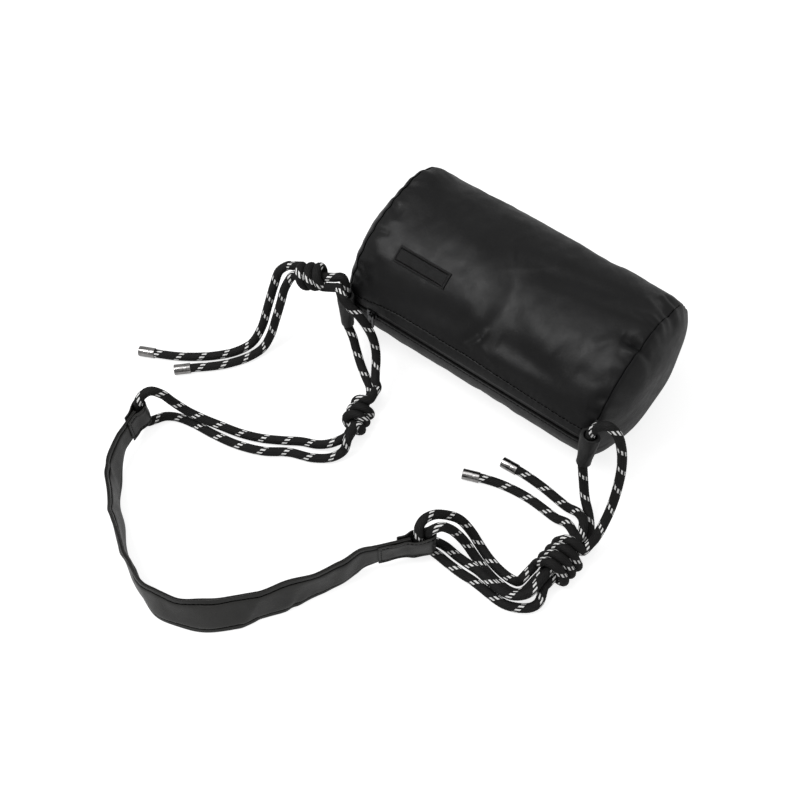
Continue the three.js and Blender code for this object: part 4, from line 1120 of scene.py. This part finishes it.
def build_label():
    """The sewn-on patch, with a raised edge, a pressed line and a slightly domed middle."""
    along, across = grid(
        stations((-LABEL_HALF_LENGTH, LABEL_HALF_LENGTH, 0.0004)),
        stations((-LABEL_HALF_HEIGHT, LABEL_HALF_HEIGHT, 0.0003)),
    )
    x, a = LABEL_X + along, LABEL_A + across
    edge = np.minimum(LABEL_HALF_LENGTH - np.abs(along), LABEL_HALF_HEIGHT - np.abs(across))
    relief = bag_relief(x, a)
    proud = 0.0012 - rounded(edge, 0.0005) + 0.0003 * bell(edge - 0.0009, 0.0005)
    proud = proud - 0.0008 * bell(edge - LABEL_STITCH, 0.0003) + 0.00008 * np.sin(along * 260 + 1.0)
    front, back = bag_skin(x, a, -SEAT - proud, relief), bag_skin(x, a, -0.0001, relief)
    add_sheet("label_ribbon", front, back, along, across, LABEL, "label_patch")
    long, high = LABEL_HALF_LENGTH - LABEL_STITCH, LABEL_HALF_HEIGHT - LABEL_STITCH
    places = []
    for side in (-1, 1):
        places += [(x, side * high, (1, 0)) for x in np.linspace(-long, long, 22)]
        places += [(side * long, y, (0, 1)) for y in np.linspace(-high + 0.0022, high - 0.0022, 5)]
    places = [(LABEL_X + x, LABEL_A + y, way, 0.0008) for x, y, way in places]
    add_stitches("label_stitches", places, length=0.0016, radius=0.00017)


def sew_hems():
    """Rows of stitches along the hem above the slot and close below it."""
    x = np.arange(-0.121, 0.1215, 0.0035)
    above = [(at, float(np.interp(at, *HEM_PLACES)), (1, 0.02), 0.00022) for at in x]
    below = [(at, GIRTH - LOWER_HEM, (1, 0), 0.0001) for at in x]
    add_stitches("hem_stitches_upper", above, length=0.0029, radius=0.00036)
    add_stitches("hem_stitches_lower", below, length=0.0026, radius=0.00024)


build_body()
build_ends()
dress_zip()
build_label()
sew_hems()


# Rope tunnels
TUNNEL_TURNS = 56
TUNNEL_LEVELS = np.concatenate([
    [0, 0.006, 0.014, 0.024], np.linspace(0.04, 0.96, 32), [0.976, 0.986, 0.994, 1],
])
# The outer and inner half width and half depth at the foot, and what each gains towards the top
TUNNEL_OUTER = (0.0063, 0.0024, 0.0054, 0.0006)
TUNNEL_INNER = (0.0047, 0.0009, 0.0043, 0.0005)


def tunnel_ring(share, to_seam, way, outer):
    """One level of a tunnel's outer or inner skin, round its middle."""
    open_up = smoothstep(share, 0.05, 0.95)
    lip = rounded(np.array(min(share, 1 - share) * TUNNEL_HEIGHT), 0.00055) * (-1 if outer else 1)
    wide, wider, deep, deeper = TUNNEL_OUTER if outer else TUNNEL_INNER
    aim = math.atan2(to_seam[1], to_seam[0])
    angle = aim + TURN * (np.arange(TUNNEL_TURNS) + 0.5) / TUNNEL_TURNS
    crease = 0.00022 * np.sin(3 * angle + 5 * share + way) + 0.0001 * np.sin(9 * angle - 11 * share)
    half_wide = wide + wider * open_up + lip + crease
    half_deep = deep + deeper * open_up + lip + crease
    shape = np.stack([half_wide * np.cos(angle), half_deep * np.sin(angle)], 1)
    if outer:
        off = angle - aim
        tail = (1 - smoothstep(np.abs(np.angle(np.exp(1j * off))), 0.1, 0.62))[:, None]
        across = np.array([-math.sin(aim), math.cos(aim)])
        edge = np.where(np.sin(off) > 0, 1, -1)[:, None] * across * 0.00115
        shape = shape * (1 - tail) + (to_seam + edge) * tail
    return shape


def build_tunnels():
    """Folded strips that taper downwards round the rope and are caught in the bag's end seams."""
    count = len(TUNNEL_LEVELS)
    for side, way in (("left", -1), ("right", 1)):
        x, y, middle = TUNNELS[side]
        seam_x = way * (BAG_HALF_LENGTH + 0.0002)
        height = middle + TUNNEL_HEIGHT * (TUNNEL_LEVELS - 0.5)
        seam_a = np.arcsin((height - BAG_MIDDLE) / BAG_HALF_HEIGHT) * BAG_HALF_HEIGHT
        seam_y = bag_skin(np.full(count, seam_x), seam_a, -0.0002)[:, 1]
        points = []
        for outer in (True, False):
            for share, z, foot in zip(TUNNEL_LEVELS, height, seam_y):
                ring = tunnel_ring(share, np.array([seam_x - x, foot - y]), way, outer)
                bow = 0.0003 * math.sin(math.pi * share) * way
                level = np.full(TUNNEL_TURNS, z)
                points.append(np.column_stack([x + bow + ring[:, 0], y + ring[:, 1], level]))
        points = np.vstack(points)
        rows = ring_rows(count, TUNNEL_TURNS)
        inside = ring_rows(count, TUNNEL_TURNS, count * TUNNEL_TURNS)[::-1]
        faces = faced_out(points, ring_faces([*rows, *inside, rows[0]]))
        uvs = np.column_stack([np.tile(np.arange(TUNNEL_TURNS) * 0.0008, 2 * count), points[:, 2]])
        name, node = f"rope_tunnel_cloth_{side}", f"rope_tunnel_{side}"
        add_piece(name, points, faces, uvs, TUNNEL_CLOTH, node, 60)


# Shoulder strap: its route between the ends, as a share from left to right and a distance forward
STRAP_RUN = [
    (0.066, 0.227), (0.135, 0.247), (0.211, 0.264), (0.292, 0.28), (0.372, 0.292), (0.459, 0.2995),
    (0.554, 0.2975), (0.638, 0.286), (0.7, 0.268), (0.755, 0.244), (0.806, 0.216), (0.853, 0.188),
]
# How far the strap's top leans back towards the bag, at each point of the route
STRAP_LEAN = [
    0, 0, 0, 0, -0.004, -0.004, -0.002, 0, 0.002, 0.006,
    0.01, 0.013, 0.012, 0.008, 0.004, 0.002, 0, 0, 0, 0,
]
# The strap's first points behind each pocket, as shares of the flap's length
FLAP_RUN_SHARES = (0, 0.5, 0.9, 1.2)
FOLD_OUTER = ROPE_RADIUS + FOLD_CLEARANCE + FOLD_WALL
COVER_WALL = 0.0012
COVER_EDGE = 0.0006
STRAP_WRINKLES = 17


def straight_end(name):
    """The strap's stretch under a flap, from the pocket towards its middle."""
    end = STRAP_ENDS[name]
    x, y, _ = fold_point(name, end["ropes"] - 1, 0)
    along_x, along_y = end["heading"]
    backs = [FOLD_OUTER + SEAT + share * (end["flap"] + FOLD_OUTER) for share in FLAP_RUN_SHARES]
    return [(x - along_x * back, y - along_y * back) for back in backs]


def strap_route():
    left, right = STRAP_ENDS["left"]["middle"][0], STRAP_ENDS["right"]["middle"][0]
    run = [(left + (right - left) * share, TUNNEL_Y - forward) for share, forward in STRAP_RUN]
    return np.array(straight_end("left") + run + straight_end("right")[::-1])


STRAP_POINTS = strap_route()
STRAP_LINE = smooth_line(STRAP_POINTS, LINE_STEP)
STRAP_ALONG = lengths_along(STRAP_LINE)
STRAP_LENGTH = STRAP_ALONG[-1]
STRAP_MARKS = [
    STRAP_ALONG[np.argmin(np.linalg.norm(STRAP_LINE - point, axis=1))] for point in STRAP_POINTS
]
LEAN_LINE = smooth_line(list(enumerate(STRAP_LEAN)), 0.1)


def strap_slack(along, up):
    """The strap's soft waves and wrinkles, which die out where its ends are sewn."""
    tall = up * STRAP_HEIGHT
    waves = 0.0007 * np.sin(TURN * (along / 0.058 + tall / 0.09))
    waves = waves + 0.0005 * np.sin(TURN * (along / 0.037 - tall / 0.06) + 1.3)
    chance = np.random.default_rng(3)
    for _ in range(STRAP_WRINKLES):
        at, slope = chance.uniform(0.03, STRAP_LENGTH - 0.03), chance.uniform(-0.9, 0.9)
        above = tall - chance.uniform(0.1, 0.9) * STRAP_HEIGHT
        near = bell(above, chance.uniform(0.008, 0.018))
        depth = chance.uniform(-0.0019, 0.0019)
        crest = bell((along - at) - slope * above, chance.uniform(0.003, 0.007))
        waves = waves + depth * crest * near
    return waves * smoothstep(np.minimum(along, STRAP_LENGTH - along), 0.02, 0.06)


def strap_place(along, up, off):
    """Places on the strap: a distance along it, a share of its height, and how far out."""
    along, up, off = np.broadcast_arrays(*(np.asarray(given, float) for given in (along, up, off)))
    steps = (0, 0.001, -0.001)
    spot, ahead, behind = (at_distance(along + step, STRAP_ALONG, STRAP_LINE) for step in steps)
    way = ahead - behind
    way /= np.linalg.norm(way, axis=-1)[..., None]
    outwards = np.stack([way[..., 1], -way[..., 0], np.zeros_like(along)], -1)
    from_end = np.minimum(along, STRAP_LENGTH - along)
    ease = 1 - smoothstep(from_end, STRAP_END_RUN / 2, STRAP_END_RUN * 2)
    height = STRAP_HEIGHT + (STRAP_END_HEIGHT - STRAP_HEIGHT) * ease
    mark = np.interp(along, STRAP_MARKS, range(len(STRAP_MARKS)))
    tilt = np.arcsin(-np.interp(mark, *LEAN_LINE.T) / STRAP_HEIGHT)[..., None]
    ripple = 0.0009 * np.sin(TURN * along / 0.071 + 0.6) * smoothstep(from_end, 0.03, 0.07)
    zed = np.array([0, 0, 1.0])
    rise = outwards * np.sin(tilt) + zed * np.cos(tilt)
    across = outwards * np.cos(tilt) - zed * np.sin(tilt)
    foot = STRAP_HALF_WALL * np.abs(np.sin(tilt)) + (STRAP_END_LIFT * ease)[..., None]
    out = (off + strap_slack(along, up))[..., None]
    raised = (up * (height - 0.0012) + up * ripple)[..., None]
    place = np.concatenate([spot, foot], -1) + across * out + rise * raised
    place[..., 2] = np.maximum(place[..., 2], 0.0)
    return place


def strap_gap(edge):
    """How far a cover's inner side lies from the strap's middle, at a distance from its edge."""
    return 0.00012 + 0.00098 * smoothstep(edge, 0.0018, 0.0085)


THREAD_SHARES = np.array([-0.5, -0.3, 0.3, 0.5])


def square_thread(line, outward):
    """A thread's places with the part of outward that is square to it, one unit long."""
    forward = unit(line[-1] - line[0])
    return line, np.cross(forward, unit(np.cross(outward, forward)))


def build_strap():
    edge = np.array([
        0, 0.0003, 0.0007, 0.0013, 0.0022, 0.0032, 0.0038, 0.0042, 0.0045, STRAP_STITCH,
        0.0049, 0.0052, 0.0056, 0.0064, 0.008, 0.0105, 0.0135,
    ]) / STRAP_HEIGHT
    s, v = grid(stations((0, STRAP_LENGTH, 0.0021)), np.concatenate([edge, [0.5], 1 - edge[::-1]]))
    from_edge = np.minimum(v, 1 - v) * STRAP_HEIGHT
    groove = 0.00085 * bell(from_edge - STRAP_STITCH, 0.0006)
    pull = np.sin(TURN * s / 0.0068) * bell(from_edge - STRAP_STITCH, 0.0018) * 0.00009
    rolled = rounded(from_edge, COVER_EDGE)
    inner = strap_gap(from_edge) + 0.0001 * rolled / COVER_EDGE
    outer = strap_gap(from_edge) + COVER_WALL - rolled - groove + pull
    stitch_share = STRAP_STITCH / STRAP_HEIGHT
    sunk = np.array([-0.0002, 0.00008, 0.00008, -0.0002]) - 0.00055
    for name, node, way in (("outer", "strap_face", 1), ("inner", "strap_backing", -1)):
        front, back = strap_place(s, v, way * outer), strap_place(s, v, way * inner)
        add_sheet(f"strap_cover_{name}", front, back, s, v * STRAP_HEIGHT, STRAP_CLOTH, node, 70)
        threads = []
        for share in (stitch_share, 1 - stitch_share):
            for at in np.arange(0.014, STRAP_LENGTH - 0.014, STITCH_PITCH):
                depth = way * (strap_gap(STRAP_STITCH) + COVER_WALL + sunk)
                line = strap_place(at + THREAD_SHARES * 0.0027, share, depth)
                outward = strap_place(at, share, way * 0.002) - strap_place(at, share, 0.0)
                threads.append(square_thread(line, outward))
        add_threads(f"strap_stitches_{name}", threads, 0.00033)

    up = np.array([0.105, 0.12, 0.16, 0.26, 0.5, 0.74, 0.84, 0.88, 0.895])
    s, v = grid(stations((0, STRAP_LENGTH, 0.0042)), up)
    half = np.minimum(0.0009, strap_gap(np.minimum(v, 1 - v) * STRAP_HEIGHT) - 0.0001)
    half = half * np.where((v < 0.11) | (v > 0.89), 0.4, 1)
    front, back = strap_place(s, v, half), strap_place(s, v, -half)
    core = add_sheet("strap_padding", front, back, s, v * STRAP_HEIGHT, STRAP_FOAM, "strap_core")


END_HALF_WALL = 0.00062
END_STITCH = 0.0026
END_STITCH_PITCH = 0.0034
END_GROOVE = 0.0004


def fold_line(end):
    """A strap's sewn end seen from above: from one flap, round the ropes, to the other."""
    back = (end["ropes"] - 1) * STRAND_SPACING
    ring = ROPE_RADIUS + FOLD_CLEARANCE + END_HALF_WALL
    beside_strap = STRAP_HALF_WALL + SEAT + END_HALF_WALL
    straight = (0.99, 0.5) if back else ()
    path = [(-back - FOLD_OUTER - end["flap"] * share, -beside_strap) for share in (1, 0.5)]
    path += [(-back - 0.0105, -beside_strap), (-back - 0.0045, -ring * 0.93)]
    path += [(-back * share, -ring) for share in straight]
    angles = np.linspace(-math.pi / 2, math.pi / 2, 15)
    path += [(ring * math.cos(angle), ring * math.sin(angle)) for angle in angles]
    path += [(-back * share, ring) for share in straight[::-1]]
    path += [(-back - 0.0045, ring * 0.93), (-back - 0.0105, beside_strap)]
    return smooth_line(path + [(-back - FOLD_OUTER - 0.011, beside_strap)], 0.0009)


def build_strap_ends():
    """Cloth strips folded round the rope and sewn down on both sides of the strap."""
    low = [0, 0.0002, 0.0005, 0.001, 0.0018, 0.0023, 0.0026, 0.0029, 0.0035, 0.006, 0.0095]
    high = STRAP_END_HEIGHT - np.array(low[::-1])
    level = np.concatenate([low, [STRAP_END_HEIGHT / 2], high])
    for name, end in STRAP_ENDS.items():
        heading = unit(end["heading"])
        side = np.array([-heading[1], heading[0]])
        line = fold_line(end)
        along = lengths_along(line)
        forward = directions(line)
        normal = np.stack([forward[:, 1], -forward[:, 0]], 1)

        def fold_place(run, height, out):
            out = np.asarray(out)[..., None]
            at = at_distance(run, along, line) + at_distance(run, along, normal) * out
            flat = np.array(end["middle"][:2]) + at[..., :1] * heading + at[..., 1:] * side
            return np.concatenate([flat, np.asarray(STRAP_END_LIFT + height)[..., None]], -1)

        def sew(run, height, run_step, height_step):
            runs, heights = run + THREAD_SHARES * run_step, height + THREAD_SHARES * height_step
            depths = END_HALF_WALL - np.array([0.00045, 0.00015, 0.00015, 0.00045])
            outward = fold_place(run, height, 0.002) - fold_place(run, height, 0.0)
            threads.append(square_thread(fold_place(runs, heights, depths), outward))

        s, z = grid(along, level)
        from_edge, from_end = np.minimum(z, STRAP_END_HEIGHT - z), np.minimum(s, along[-1] - s)
        edge_fall, end_fall = rounded(from_edge, END_HALF_WALL), rounded(from_end, END_HALF_WALL)
        thin = np.maximum(edge_fall, end_fall) * 0.92
        across_end = bell(s - 0.0024, 0.0005) * smoothstep(from_edge, 0.002, 0.003)
        groove = END_GROOVE * np.maximum(bell(from_edge - END_STITCH, 0.00045), across_end)
        soft = 0.0003 * np.sin(s * 310 + z * 120) + 0.0002 * np.sin(z * 420 - s * 150)
        squeeze = 0.00032 * np.sin(math.pi * z / STRAP_END_HEIGHT) * bell(s - along[-1] / 2, 0.012)
        middle = soft * smoothstep(from_end, 0.004, 0.012) + squeeze
        height = z + 0.0004 * np.sin(s * 170 + 0.8) * (z / STRAP_END_HEIGHT - 0.3)
        front = fold_place(s, height, END_HALF_WALL - thin - groove + middle)
        back = fold_place(s, height, thin - END_HALF_WALL + middle)
        add_sheet(f"strap_fold_{name}", front, back, s, z, STRAP_CLOTH, f"strap_end_{name}", 70)

        threads = []
        for height in (END_STITCH, STRAP_END_HEIGHT - END_STITCH):
            for run in np.arange(0.0044, along[-1] - 0.0035, END_STITCH_PITCH):
                sew(run, height, 0.0026, 0)
        for height in np.arange(0.0048, STRAP_END_HEIGHT - 0.004, END_STITCH_PITCH):
            sew(0.0024, height, 0, 0.0026)
        add_threads(f"strap_fold_stitches_{name}", threads, 0.0003)


build_tunnels()
build_strap()
build_strap_ends()


# Studio
FLOOR_GLOW = 0.8
FLOOR_COLOUR = (0.47, 0.47, 0.47)
FLOOR_HALF_SIZE = 4.0
GLOSSY_GLOW = 0.26
WORLD_LIGHT = 0.38
WHITE = (1, 1, 1)
LAMP_TARGET = (-0.03, -0.1, 0.05)
LAMPS = [
    ("key_lamp", (-0.55, -0.74, 1.45), 0.65, 10.5),
    ("top_lamp", (-0.1, -0.2, 1.7), 1.3, 6.5),
]


def build_studio():
    """A plain white floor that keeps the soft shadow, two large soft lamps, and a pale world."""
    material = bpy.data.materials.new("studio_floor")
    material.use_nodes = True
    tree = material.node_tree
    tree.nodes.clear()
    seen = add_node(tree, "LightPath")
    glossy = seen.output("Is Glossy Ray") * GLOSSY_GLOW
    shown = seen.calc("MAXIMUM", glossy).calc("MAXIMUM", seen.output("Is Transmission Ray"))
    diffuse = add_node(tree, "BsdfDiffuse", {"Color": FLOOR_COLOUR})
    glow = add_node(tree, "Emission", {"Color": WHITE, "Strength": shown * FLOOR_GLOW})
    both = add_node(tree, "AddShader", {0: diffuse, 1: glow})
    put(tree.nodes.new("ShaderNodeOutputMaterial").inputs["Surface"], both)
    mesh = bpy.data.meshes.new("studio_floor")
    corners = np.array([(-1, -1, 0), (1, -1, 0), (1, 1, 0), (-1, 1, 0)]) * FLOOR_HALF_SIZE
    mesh.from_pydata(corners.tolist(), [], [(0, 1, 2, 3)])
    mesh.materials.append(material)
    add_object("studio_floor", mesh)

    world = bpy.data.worlds.new("studio_world")
    bpy.context.scene.world = world
    world.use_nodes = True
    seen = add_node(world.node_tree, "LightPath")
    shown = seen.calc("MAXIMUM", seen.output("Is Transmission Ray"))
    background = world.node_tree.nodes["Background"].inputs
    put(background["Color"], WHITE)
    put(background["Strength"], shown.calc("MAXIMUM", WORLD_LIGHT))

    for name, place, size, power in LAMPS:
        lamp = bpy.data.lights.new(name, "AREA")
        lamp.shape = "DISK"
        lamp.size = size
        lamp.energy = power
        add_object(name, lamp, place, LAMP_TARGET)


build_studio()
bpy.context.scene.view_settings.view_transform = "Standard"
